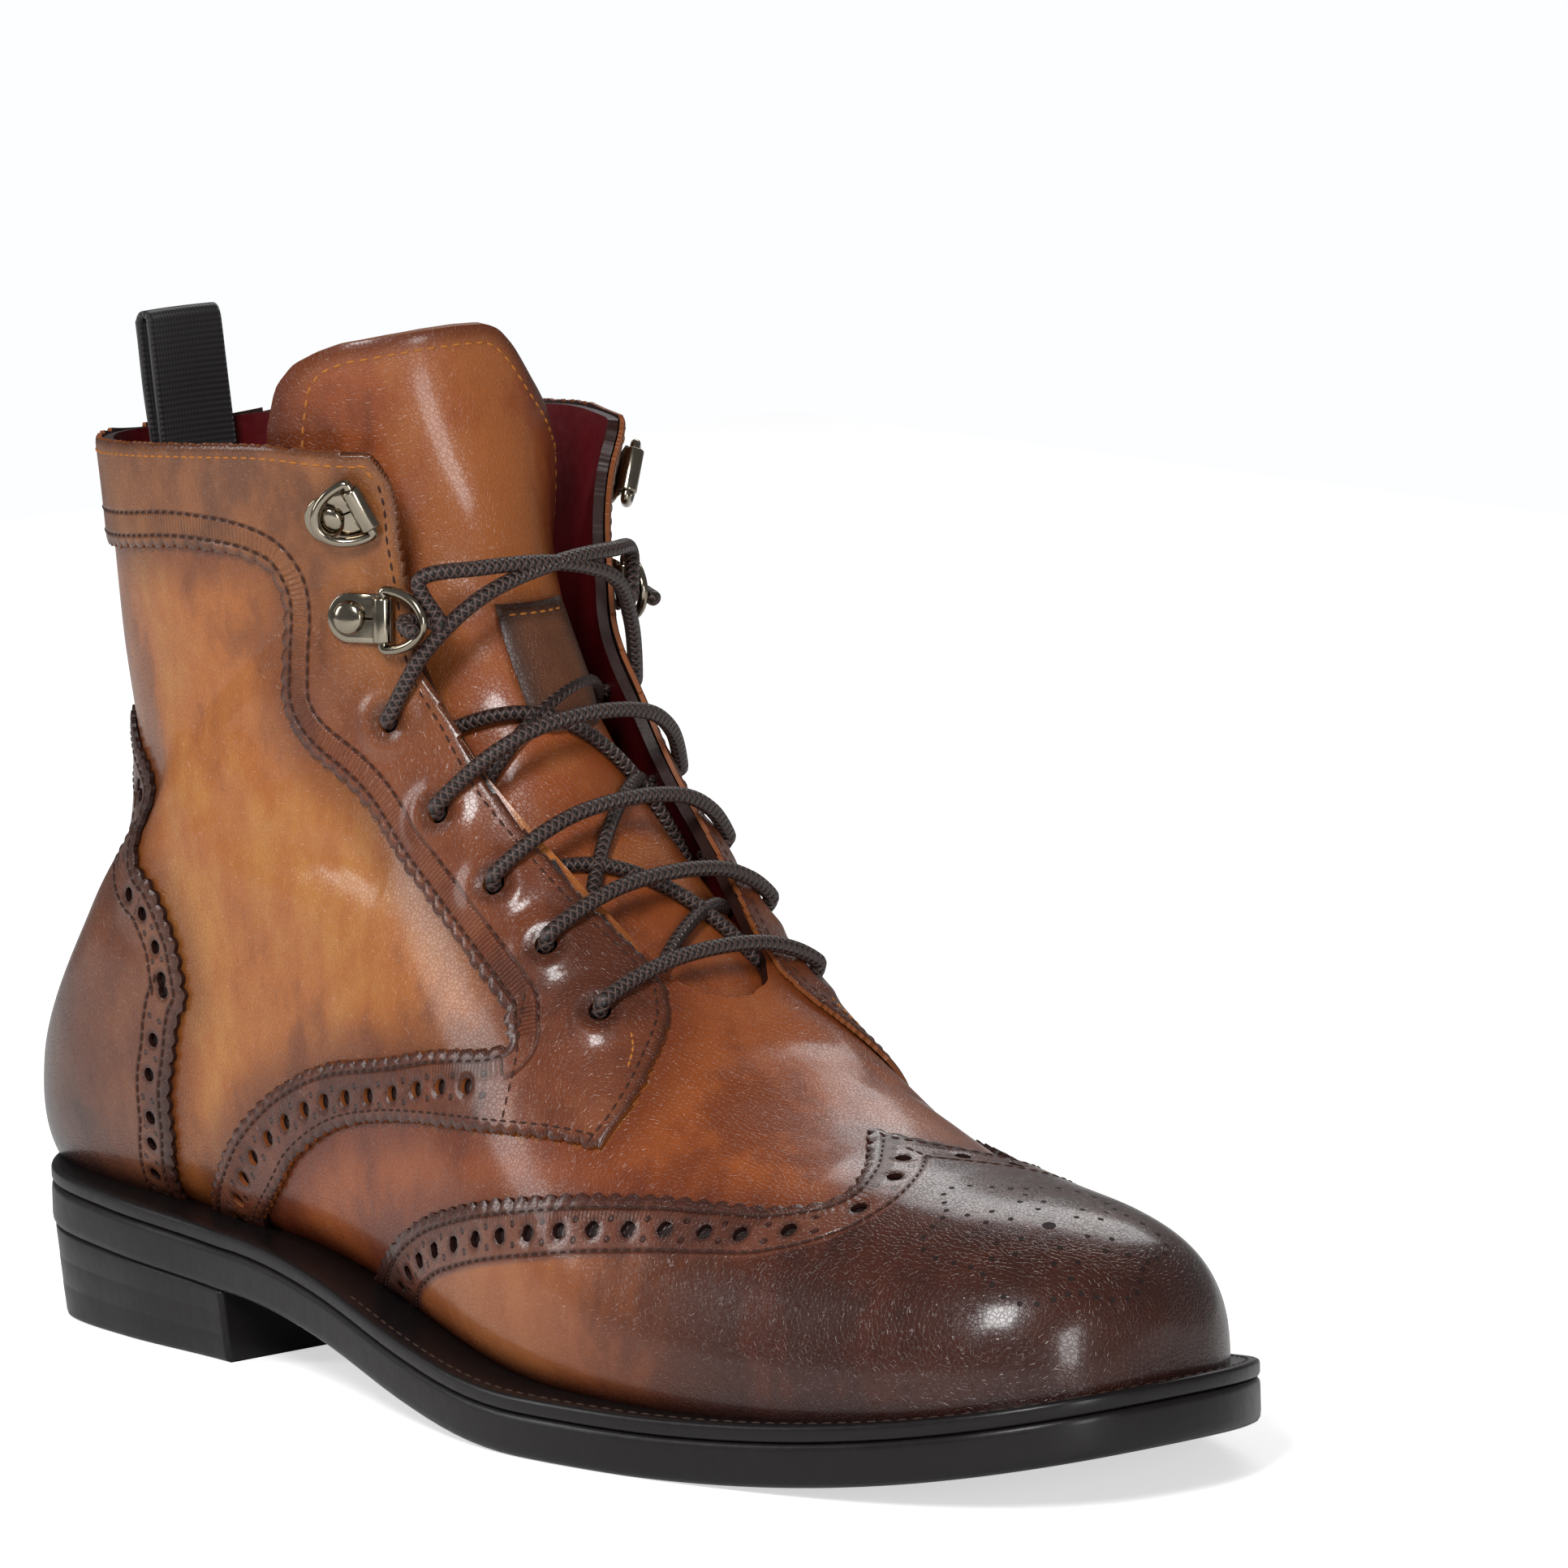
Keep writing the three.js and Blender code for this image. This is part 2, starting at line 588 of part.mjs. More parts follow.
// A webbing strip folded over, whose two ends lie on the lining at the back
function makePullLoop() {
  const outer = LINING_CLEAR;
  const inner = outer - 2 * PULL_THICKNESS - PULL_OPENING;
  const top = COLLAR_BACK + PULL_RISE;
  const low = COLLAR_BACK - PULL_DEPTH;
  const corner = PULL_CORNER;
  const outline = [
    new THREE.Vector2(-PULL_HALF_WIDTH, low),
    new THREE.Vector2(PULL_HALF_WIDTH, low),
    new THREE.Vector2(PULL_HALF_WIDTH, top - corner),
    new THREE.Vector2(PULL_HALF_WIDTH - corner, top),
    new THREE.Vector2(corner - PULL_HALF_WIDTH, top),
    new THREE.Vector2(-PULL_HALF_WIDTH, top - corner),
  ];
  const hollow = formSolid(outer - PULL_THICKNESS)
    .subtract(formSolid(inner + PULL_THICKNESS))
    .intersect(sideBox(FAR_BACK, FAR_FRONT, BELOW_ALL, top - PULL_THICKNESS));
  const front = formPoint(SHAFT_MIDDLE, Math.PI).lerp(formPoint(SHAFT_MIDDLE, 0), 0.5);
  return formInsole.subtract(formSolid(inner))
    .intersect(frontPrism(outline, FAR_BACK, front.x))
    .subtract(hollow);
}

// Lower edge of the quarter's overlay in side view: the collar band and facing, then the wing
// strip down to the welt, back along its lower edge, and up the front corner of the quarter
const BAND_EDGE = [[-0.160, 0.820], [-0.100, 0.828], [0.007, 0.846], [0.100, 0.877],
  [0.158, 0.886], [0.193, 0.885], [0.204, 0.862], [0.205, 0.778], [0.208, 0.696],
  [0.251, 0.633], [0.312, 0.556], [0.371, 0.490], [0.430, 0.425]];
const WING_UPPER_EDGE = [[0.422, 0.404], [0.366, 0.365], [0.316, 0.325], [0.247, 0.270],
  [0.199, 0.217], [0.158, 0.151], [0.132, 0.099], [0.110, 0.011], [0.100, -0.079]];
const WING_LOWER_EDGE = [[0.177, -0.070], [0.180, 0.004], [0.192, 0.061], [0.218, 0.127],
  [0.261, 0.190], [0.311, 0.234], [0.366, 0.269], [0.427, 0.297], [0.481, 0.307],
  [0.516, 0.298]];
const QUARTER_FRONT = [[0.516, 0.298], [0.519, 0.334], [0.514, 0.378], [0.498, 0.436],
  [0.482, 0.471]];
const QUARTER_BEYOND = [[0.482, 0.700], [0.600, 1.400], [-0.160, 1.400]];

// Edges of the toe cap's wings and of the heel counter in side view
const CAP_EDGE = [[0.290, -0.042], [0.291, 0.034], [0.329, 0.105], [0.381, 0.178],
  [0.436, 0.223], [0.506, 0.249], [0.560, 0.253], [0.609, 0.248], [0.640, 0.244],
  [0.662, 0.254], [0.655, 0.273], [0.631, 0.293], [0.610, 0.315]];
const CAP_BEYOND = [[0.600, 0.500], [1.000, 0.500], [1.000, -0.200], [0.290, -0.200]];
const COUNTER_EDGE = [[-0.047, 0.626], [-0.017, 0.616], [0.000, 0.564], [0.013, 0.512],
  [0.033, 0.467], [0.060, 0.430], [0.083, 0.389], [0.100, 0.340], [0.105, 0.294],
  [0.100, 0.239], [0.093, 0.191], [0.087, 0.136], [0.083, 0.075], [0.082, 0.007],
  [0.082, -0.081]];
const COUNTER_BEYOND = [[0.082, -0.200], [-0.200, -0.200], [-0.200, 0.640]];
const EDGE_STEPS = 1;

function overlayPiece(outline, fromY, toY) {
  return overlayShell.intersect(sidePrism(outline, fromY, toY)).subtract(overlayFloor);
}

function makeToeCap() {
  const outline = [...sideCurve(CAP_EDGE, EDGE_STEPS), ...CAP_BEYOND.map(sidePoint)];
  return overlayPiece(outline, -SIDE_REACH, SIDE_REACH);
}

function makeCounter() {
  const outline = [...sideCurve(COUNTER_EDGE, EDGE_STEPS), ...COUNTER_BEYOND.map(sidePoint)];
  return overlayPiece(outline, -SIDE_REACH, SIDE_REACH);
}

function makeQuarter(side) {
  const outline = [
    ...sideCurve(BAND_EDGE, EDGE_STEPS),
    ...sideCurve(WING_UPPER_EDGE, EDGE_STEPS),
    ...sideCurve(WING_LOWER_EDGE, EDGE_STEPS),
    ...sideCurve(QUARTER_FRONT, EDGE_STEPS).slice(1),
    ...QUARTER_BEYOND.map(sidePoint),
  ];
  const seam = GAP / 2;
  const range = side < 0 ? [-SIDE_REACH, -seam] : [seam, SIDE_REACH];
  return HOLES.reduce((solid, row) => solid.subtract(holeCutter(row, side)),
    overlayPiece(outline, ...range).subtract(throatCut).subtract(collarCut));
}

// Places on the form: section and turn around it, in radians from the base, the same on both
// sides
const HOLES = [[6.91, 2.580], [7.65, 2.531], [8.42, 2.455], [9.41, 2.385], [10.62, 2.391]];
const UPPER_RING = [14.61, 2.185];
const LACED_RING = [12.18, 2.397];
const HOLE_SIDES = 6;
const HOLE_REACH = 2;

// A frame on the overlay's face: ahead around the section to the throat, up along the leather,
// and out
const FRAME_STEP = 0.01;

function surfaceFrame([section, turn], side) {
  const out = formNormal(section, side * turn);
  const ahead = formPoint(section, side * (turn + FRAME_STEP))
    .sub(formPoint(section, side * (turn - FRAME_STEP))).normalize();
  const along = new THREE.Vector3().crossVectors(out, ahead).multiplyScalar(-side).normalize();
  return { ahead, along, out, origin: offsetPoint(section, side * turn, OVERLAY_FACE) };
}

// The same place with its up side leaning back from the vertical by a twist in degrees
function uprightFrame(place, side, twist) {
  const { out, origin } = surfaceFrame(place, side);
  const along = Z_AXIS.clone().addScaledVector(out, -out.z).normalize();
  along.applyAxisAngle(out, THREE.MathUtils.degToRad(-side * twist));
  const ahead = new THREE.Vector3().crossVectors(along, out).multiplyScalar(-side).normalize();
  return { ahead, along, out, origin };
}

// A place in a frame, from lengths ahead, along and out
function inFrame(frame, ahead, along, out) {
  return frame.origin.clone().addScaledVector(frame.ahead, ahead)
    .addScaledVector(frame.along, along).addScaledVector(frame.out, out);
}

// Puts a geometry whose X, Y and Z run ahead, along and out into a frame
function placed(geometry, frame, shift = [0, 0, 0]) {
  const basis = new THREE.Matrix4().makeBasis(frame.ahead, frame.along, frame.out);
  basis.setPosition(inFrame(frame, ...shift));
  return solidOf(geometry.applyMatrix4(basis));
}

function holeCutter(row, side) {
  const length = WALL + OVERLAY_FACE + 2 * HOLE_REACH;
  const geometry = new THREE.CylinderGeometry(HOLE_RADIUS, HOLE_RADIUS, length, HOLE_SIDES);
  geometry.rotateX(Math.PI / 2);
  return placed(geometry, surfaceFrame(row, side), [0, 0, HOLE_REACH - length / 2]);
}

function makeUpper() {
  const open = formOuter.subtract(formInner)
    .subtract(belowLine(weltBottom))
    .subtract(collarCut)
    .subtract(throatCut);
  return [-1, 1].reduce((solid, side) => HOLES.reduce(
    (rest, row) => rest.subtract(holeCutter(row, side)), solid), open);
}

// Plate with one round end under the rivet and a rolled barrel at the other
const PLATE_SEGMENTS = 4;
const BARREL_SIDES = 8;

function makePlate(frame) {
  const outline = new THREE.Shape();
  outline.moveTo(PLATE_BARREL_AHEAD, -PLATE_HALF_WIDTH);
  outline.lineTo(PLATE_BARREL_AHEAD, PLATE_HALF_WIDTH);
  outline.lineTo(-PLATE_RIVET_BACK, PLATE_HALF_WIDTH);
  outline.absarc(-PLATE_RIVET_BACK, 0, PLATE_HALF_WIDTH, Math.PI / 2, 1.5 * Math.PI, false);
  const plate = new THREE.ExtrudeGeometry(outline,
    { depth: PLATE_THICKNESS, bevelEnabled: false, curveSegments: PLATE_SEGMENTS });
  const cylinder = (radius, length) => new THREE.CylinderGeometry(radius, radius, length,
    BARREL_SIDES);
  const barrelShift = [PLATE_BARREL_AHEAD, 0, PLATE_CLEAR + BARREL_RADIUS];
  return placed(plate, frame, [0, 0, PLATE_CLEAR])
    .add(placed(cylinder(BARREL_RADIUS, 2 * BARREL_HALF_LENGTH), frame, barrelShift))
    .subtract(placed(cylinder(BARREL_BORE, 3 * PLATE_HALF_WIDTH), frame, barrelShift));
}

// Domed rivet head, turned from shares of its radius and height
const RIVET_SIDES = 8;
const RIVET_PROFILE = [[0, 0], [1, 0], [0.94, 0.35], [0.6, 0.8], [0, 1]];

function makeRivet(frame) {
  const profile = RIVET_PROFILE.map(([r, h]) => new THREE.Vector2(r * RIVET_RADIUS,
    h * RIVET_HEIGHT));
  const geometry = new THREE.LatheGeometry(profile, RIVET_SIDES);
  geometry.rotateX(Math.PI / 2);
  return placed(geometry, frame, [-PLATE_RIVET_BACK, 0, PLATE_CLEAR + PLATE_THICKNESS + GAP]);
}

// The frame of a ring: it starts at the barrel's axis and lies at an angle over the leather
function ringFrame(frame, angle, side) {
  const turned = {
    ahead: frame.ahead.clone(),
    along: frame.along.clone(),
    out: frame.out.clone(),
    origin: inFrame(frame, PLATE_BARREL_AHEAD, 0, PLATE_CLEAR + BARREL_RADIUS),
  };
  const tilt = THREE.MathUtils.degToRad(angle);
  turned.ahead.multiplyScalar(Math.cos(tilt)).addScaledVector(frame.out, Math.sin(tilt));
  turned.out.crossVectors(turned.along, turned.ahead).multiplyScalar(-side).normalize();
  return turned;
}

// Closed sweep of a wire around a flat closed line
const WIRE_SIDES = 6;
const WIRE_PHASE = 0.5;
const RING_ARC_STEPS = 3;
const RING_SHORTEST = 0.05;

function makeRing(frame) {
  const line = new THREE.Shape();
  line.moveTo(0, 0);
  line.lineTo(0, RING_HALF_HEIGHT - RING_CORNER);
  line.quadraticCurveTo(0, RING_HALF_HEIGHT, RING_CORNER, RING_HALF_HEIGHT);
  line.absellipse(RING_CORNER, 0, RING_DEPTH - RING_CORNER, RING_HALF_HEIGHT, Math.PI / 2,
    -Math.PI / 2, true);
  line.quadraticCurveTo(0, -RING_HALF_HEIGHT, 0, RING_CORNER - RING_HALF_HEIGHT);
  line.closePath();
  const places = line.getPoints(RING_ARC_STEPS).slice(0, -1);
  const kept = places.filter((p, i) => p.distanceTo(places[(i + 1) % places.length])
    > RING_SHORTEST);
  const points = [];
  const triangles = [];
  kept.forEach((place, i) => {
    const next = kept[(i + 1) % kept.length];
    const last = kept[(i + kept.length - 1) % kept.length];
    const along = next.clone().sub(last).normalize();
    for (let j = 0; j < WIRE_SIDES; j += 1) {
      const turn = ((j + WIRE_PHASE) / WIRE_SIDES) * 2 * Math.PI;
      const across = WIRE_RADIUS * Math.cos(turn);
      points.push(inFrame(frame, place.x + along.y * across, place.y - along.x * across,
        WIRE_RADIUS * Math.sin(turn)));
      const a = i * WIRE_SIDES + j;
      const b = i * WIRE_SIDES + (j + 1) % WIRE_SIDES;
      const n = kept.length * WIRE_SIDES;
      triangles.push([a, b, (a + WIRE_SIDES) % n],
        [b, (b + WIRE_SIDES) % n, (a + WIRE_SIDES) % n]);
    }
  });
  return closedSolid(points, triangles);
}

// A lace's route, whose steps follow its chosen points and so are closer at its bends
class Route extends THREE.CatmullRomCurve3 {
  getUtoTmapping(u) {
    return u;
  }
}

const LACE_SIDES = 6;
const LACE_RISE = OVERLAY_FACE + LACE_RADIUS + 2 * GAP;

function laceTube(points) {
  const outline = Array.from({ length: LACE_SIDES }, (_, i) => {
    const turn = (i / LACE_SIDES) * 2 * Math.PI;
    return new THREE.Vector2(LACE_RADIUS * Math.cos(turn), LACE_RADIUS * Math.sin(turn));
  });
  return solidOf(new THREE.ExtrudeGeometry(new THREE.Shape(outline), {
    steps: points.length - 1,
    bevelEnabled: false,
    extrudePath: new Route(points),
  }));
}

// The lace comes up out of a hole and turns ahead over the facing: lengths ahead and out
const HOLE_BEND = [[0, -OVERLAY_FACE], [0, 0.1], [0.75, 1.45], [2.3, LACE_RISE - OVERLAY_FACE]];

function outOfHole(row, side) {
  const frame = surfaceFrame(row, side);
  return HOLE_BEND.map(([ahead, out]) => inFrame(frame, ahead, 0, out));
}

// A bar from a hole straight across to its mate
const BAR_SHARES = [0.18, 0.34, 0.5, 0.66, 0.82];

function makeBar(row) {
  const [section, turn] = row;
  const reach = 2 * (Math.PI - turn);
  const across = BAR_SHARES.map((share) => {
    const around = turn + reach * share;
    return offsetPoint(section, around > Math.PI ? 2 * Math.PI - around : -around, LACE_RISE);
  });
  return laceTube([...outOfHole(row, -1), ...across, ...outOfHole(row, 1).reverse()]);
}

// The top strands rise from the last holes, cross on the ridge and pass through the rings of
// the other side. Turns over PI are on the other side of the ridge.
const CROSS_COLUMNS = ['section', 'turn', 'rise'];
const CROSS_ROWS = [
  [11.00, 2.620, 3.7],
  [11.35, 2.880, 3.8],
  [11.60, 3.1416, 3.9],
  [11.85, 3.400, 4.2],
  [12.15, 3.640, 4.9],
];

// How a strand dips through a ring: lengths ahead and out in the ring's own frame
const RING_DIP = [[10.8, 3.1], [8.6, 2.9], [6.4, 1.6], [5.3, -0.3]];

function crossStrand(side) {
  const over = CROSS_ROWS.map((row) => {
    const [section, turn, rise] = CROSS_COLUMNS.map((name) => row[CROSS_COLUMNS.indexOf(name)]);
    return offsetPoint(section, turn > Math.PI ? -side * (2 * Math.PI - turn) : side * turn, rise);
  });
  const ring = ringFrame(uprightFrame(LACED_RING, -side, 0), LACED_RING_ANGLE, -side);
  const dip = RING_DIP.map(([ahead, out]) => inFrame(ring, ahead, 0, out));
  return laceTube([...outOfHole(HOLES[HOLES.length - 1], side), ...over, ...dip]);
}

const LOOKS = {
  sole: { color: 0x1c1718, roughness: 0.5, metalness: 0 },
  tan: { color: 0xa0622d, roughness: 0.3, metalness: 0 },
  brown: { color: 0x5d2f1c, roughness: 0.3, metalness: 0 },
  insole: { color: 0x9a7550, roughness: 0.8, metalness: 0 },
  webbing: { color: 0x19171a, roughness: 0.9, metalness: 0 },
  lace: { color: 0x3a2320, roughness: 0.7, metalness: 0 },
  metal: { color: 0x8c8880, roughness: 0.25, metalness: 1 },
};

function meshOf(name, solid, look) {
  const data = solid.getMesh();
  const geometry = new THREE.BufferGeometry();
  geometry.setAttribute('position', new THREE.Float32BufferAttribute(data.vertProperties, 3));
  geometry.setIndex(Array.from(data.triVerts));
  const mesh = new THREE.Mesh(geometry, new THREE.MeshStandardMaterial(LOOKS[look]));
  mesh.name = name;
  return mesh;
}

// One ring fitting: plate, rivet and ring
function fitting(name, place, side, twist, angle) {
  const frame = uprightFrame(place, side, twist);
  const group = new THREE.Group();
  group.add(meshOf(`plate_${name}`, makePlate(frame), 'metal'));
  group.add(meshOf(`rivet_${name}`, makeRivet(frame), 'metal'));
  group.add(meshOf(`ring_${name}`, makeRing(ringFrame(frame, angle, side)), 'metal'));
  return group;
}

const boot = new THREE.Group();
boot.add(meshOf('outsole', makeOutsole(), 'sole'));
boot.add(meshOf('heel_block', makeHeel(), 'sole'));
boot.add(meshOf('welt', makeWelt(), 'sole'));
boot.add(meshOf('insole', makeInsole(), 'insole'));
boot.add(meshOf('upper', makeUpper(), 'tan'));
boot.add(meshOf('tongue', makeTongue(), 'tan'));
boot.add(meshOf('toe_cap', makeToeCap(), 'brown'));
boot.add(meshOf('counter', makeCounter(), 'brown'));
boot.add(meshOf('quarter_lateral', makeQuarter(-1), 'brown'));
boot.add(meshOf('quarter_medial', makeQuarter(1), 'brown'));
boot.add(meshOf('lace_keeper', makeKeeper(), 'tan'));
boot.add(meshOf('pull_loop', makePullLoop(), 'webbing'));
[['lateral', -1], ['medial', 1]].forEach(([name, side]) => {
  boot.add(fitting(`upper_${name}`, UPPER_RING, side, UPPER_RING_TWIST, UPPER_RING_ANGLE));
  boot.add(fitting(`laced_${name}`, LACED_RING, side, 0, LACED_RING_ANGLE));
});
HOLES.slice(0, -1).forEach((row, i) => {
  boot.add(meshOf(`lace_bar_${i + 1}`, makeBar(row), 'lace'));
});
boot.add(meshOf('lace_cross', crossStrand(-1).add(crossStrand(1)), 'lace'));

export default boot;
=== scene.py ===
import bmesh
import bpy
import numpy as np
from mathutils import Matrix


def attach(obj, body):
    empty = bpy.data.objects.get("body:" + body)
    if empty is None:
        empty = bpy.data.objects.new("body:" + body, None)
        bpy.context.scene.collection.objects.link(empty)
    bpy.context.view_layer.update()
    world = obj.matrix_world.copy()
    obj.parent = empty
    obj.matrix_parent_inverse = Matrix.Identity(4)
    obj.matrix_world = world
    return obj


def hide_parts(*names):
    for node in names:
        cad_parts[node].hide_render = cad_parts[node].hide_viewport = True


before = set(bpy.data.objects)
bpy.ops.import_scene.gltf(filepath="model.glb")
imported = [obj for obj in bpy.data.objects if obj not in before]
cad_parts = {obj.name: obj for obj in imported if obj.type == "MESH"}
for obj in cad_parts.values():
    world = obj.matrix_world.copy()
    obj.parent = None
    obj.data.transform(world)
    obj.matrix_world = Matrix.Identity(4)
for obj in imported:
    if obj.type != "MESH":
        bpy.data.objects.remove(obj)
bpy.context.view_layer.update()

# Lengths are in millimetres until a mesh is made, with +X to the toe and +Z up
MM = 0.001
BODY = "boot"

# Sizes of the foot form, the sole, the leathers and the lace
UPPER_LENGTH, BALL_WIDTH, INSTEP_RISE, SHAFT_RISE = 300.0, 92.0, 100.0, 148.0
HEEL_HEIGHT, HEEL_BREAST_HEIGHT, HEEL_FRONT, HEEL_BACK = 19.0, 14.2, 40.0, -36.0
BALL_BACK, BALL_FRONT, TOE_TIP, TOE_SPRING = 148.0, 172.0, 266.0, 11.0
TOE_LEAN, TOE_LEAN_START, TOE_LEAN_END = 5.0, 120.0, 250.0
OUTSOLE_THICKNESS, WELT_THICKNESS = 8.4, 3.4
WALL, GAP, OVERLAY = 2.0, 0.3, 1.2
FACE = GAP + OVERLAY
LINING = -WALL - GAP
TONGUE_SETBACK, TONGUE_SETBACK_START, TONGUE_SETBACK_END = 11.0, 6.6, 14.0
TONGUE_ROUND, TONGUE_THICKNESS = 2.1, 2.5
TONGUE_TOE_HALF, TONGUE_START, TONGUE_WIDENS = 19.0, 6.2, 5.0
LACE_RADIUS = 1.5
# Radius of the lace holes on the lateral and on the medial side
HOLE_SIZES = {-1: 2.1, 1: 1.7}
LACE_RISE = FACE + LACE_RADIUS + 2 * GAP

# Sections of the foot form, as in the solids: closed curves on chords from a back point to a
# front point, in shares of the driving sizes
SECTION_NAMES = ["back_x", "back_z", "front_x", "front_z", "lateral", "medial", "ridge",
                 "base", "widest", "flat", "round"]
SECTIONS = np.array([
    [0.868, -0.044, 0.867, 0.086, 0.000, 0.000, 0.060, 0.060, 0.42, 3.00, 2.20],
    [0.860, -0.051, 0.853, 0.194, 0.168, 0.168, 0.060, 0.060, 0.40, 3.20, 2.20],
    [0.830, -0.052, 0.822, 0.273, 0.293, 0.293, 0.058, 0.058, 0.36, 3.20, 2.20],
    [0.780, -0.051, 0.772, 0.333, 0.386, 0.380, 0.054, 0.054, 0.33, 3.20, 2.20],
    [0.707, -0.046, 0.697, 0.385, 0.457, 0.440, 0.054, 0.049, 0.31, 3.20, 2.20],
    [0.617, -0.041, 0.610, 0.455, 0.500, 0.484, 0.049, 0.033, 0.30, 3.20, 2.20],
    [0.523, -0.041, 0.533, 0.582, 0.516, 0.478, 0.043, 0.011, 0.30, 3.10, 2.25],
    [0.423, -0.042, 0.468, 0.750, 0.495, 0.440, 0.033, 0.000, 0.31, 3.00, 2.35],
    [0.317, -0.047, 0.415, 0.910, 0.446, 0.402, 0.022, 0.000, 0.32, 2.80, 2.50],
    [0.200, -0.052, 0.375, 1.056, 0.408, 0.380, 0.011, 0.000, 0.33, 2.70, 2.60],
    [0.060, -0.053, 0.350, 1.192, 0.391, 0.380, 0.005, 0.000, 0.34, 2.60, 2.70],
    [-0.097, -0.063, 0.333, 1.313, 0.397, 0.386, 0.000, 0.000, 0.35, 2.30, 2.80],
    [-0.130, 0.041, 0.325, 1.413, 0.397, 0.391, 0.000, 0.000, 0.38, 2.15, 2.90],
    [-0.102, 0.179, 0.320, 1.505, 0.386, 0.391, 0.000, 0.000, 0.42, 1.95, 2.90],
    [-0.052, 0.328, 0.320, 1.595, 0.375, 0.391, 0.000, 0.000, 0.45, 1.90, 2.90],
    [-0.030, 0.486, 0.322, 1.676, 0.391, 0.408, 0.000, 0.000, 0.47, 2.00, 3.00],
    [-0.033, 0.668, 0.325, 1.768, 0.413, 0.418, 0.000, 0.000, 0.48, 2.15, 3.00],
    [-0.040, 0.870, 0.330, 1.871, 0.424, 0.429, 0.000, 0.000, 0.48, 2.20, 3.00],
    [-0.053, 1.071, 0.337, 1.975, 0.435, 0.440, 0.000, 0.000, 0.48, 2.20, 3.00],
    [-0.067, 1.299, 0.347, 2.210, 0.446, 0.451, 0.000, 0.000, 0.48, 2.20, 3.00],
])
# Rows of the sole's outline from toe to heel: x, then the half width on either side, in
# shares of the upper's length and the ball's width
SOLE_ROWS = np.array([
    [0.887, 0.000, 0.000], [0.877, 0.189, 0.189], [0.843, 0.324, 0.352],
    [0.793, 0.418, 0.452], [0.727, 0.484, 0.516], [0.640, 0.536, 0.561],
    [0.550, 0.573, 0.565], [0.460, 0.576, 0.516], [0.360, 0.530, 0.446],
    [0.250, 0.458, 0.402], [0.127, 0.408, 0.391], [0.017, 0.391, 0.397],
    [-0.067, 0.334, 0.348], [-0.113, 0.169, 0.190], [-0.128, 0.000, 0.000],
])
LAST = len(SECTIONS) - 1

# Half width of the throat by section, in shares of the ball's width
THROAT = np.array([[6.55, 0.020], [6.65, 0.085], [6.90, 0.125], [7.75, 0.173], [8.50, 0.205],
                   [9.30, 0.228], [10.4, 0.245], [12.0, 0.258], [14.4, 0.280], [19.0, 0.300]])


# Curves and the foot form

def smooth(u):
    """Smooth step: 3u^2 - 2u^3 for u held between 0 and 1."""
    u = np.clip(u, 0, 1)
    return u * u * (3 - 2 * u)


def hump(d, width):
    """Bell curve of a distance: exp(-(d / width)^2)."""
    return np.exp(-(d / width) ** 2)


def table_column(rows, k, mirrored, t):
    """Catmull-Rom reading of a table's column, whose ends are mirrored evenly or oddly."""
    v = rows[:, k]
    first, last = (v[1], v[-2]) if mirrored else (2 * v[0] - v[1], 2 * v[-1] - v[-2])
    v = np.concatenate([[first], v, [last]])
    t = np.clip(t, 0, len(v) - 3)
    i = np.minimum(np.floor(t).astype(int), len(v) - 4)
    f = t - i
    a, b, c, d = v[i], v[i + 1], v[i + 2], v[i + 3]
    return 0.5 * (2 * b + (c - a) * f + (2 * a - 5 * b + 4 * c - d) * f ** 2
                  + (3 * b - a - 3 * c + d) * f ** 3)


def section_column(name, t):
    """One measure of the foot form's sections, read at section t."""
    return table_column(SECTIONS, SECTION_NAMES.index(name), name in ("back_x", "front_x"), t)


def tread_line(x):
    """Underside of the outsole: toe spring as a parabola, flat ball, smooth arch, sloped heel."""
    toe = TOE_SPRING * (np.maximum(x - BALL_FRONT, 0) / (TOE_TIP - BALL_FRONT)) ** 2
    arch = HEEL_BREAST_HEIGHT * smooth((BALL_BACK - x) / (BALL_BACK - HEEL_FRONT))
    rise = np.maximum(HEEL_FRONT - x, 0) / (HEEL_FRONT - HEEL_BACK)
    return toe + arch + (HEEL_HEIGHT - HEEL_BREAST_HEIGHT) * rise


def welt_top(x):
    """Top of the welt: the tread line plus the outsole and the welt."""
    return tread_line(x) + OUTSOLE_THICKNESS + WELT_THICKNESS


def toe_lean(x):
    """Middle line of the sole, which leans smoothly to the medial side at the toe."""
    return TOE_LEAN * smooth((x - TOE_LEAN_START) / (TOE_LEAN_END - TOE_LEAN_START))


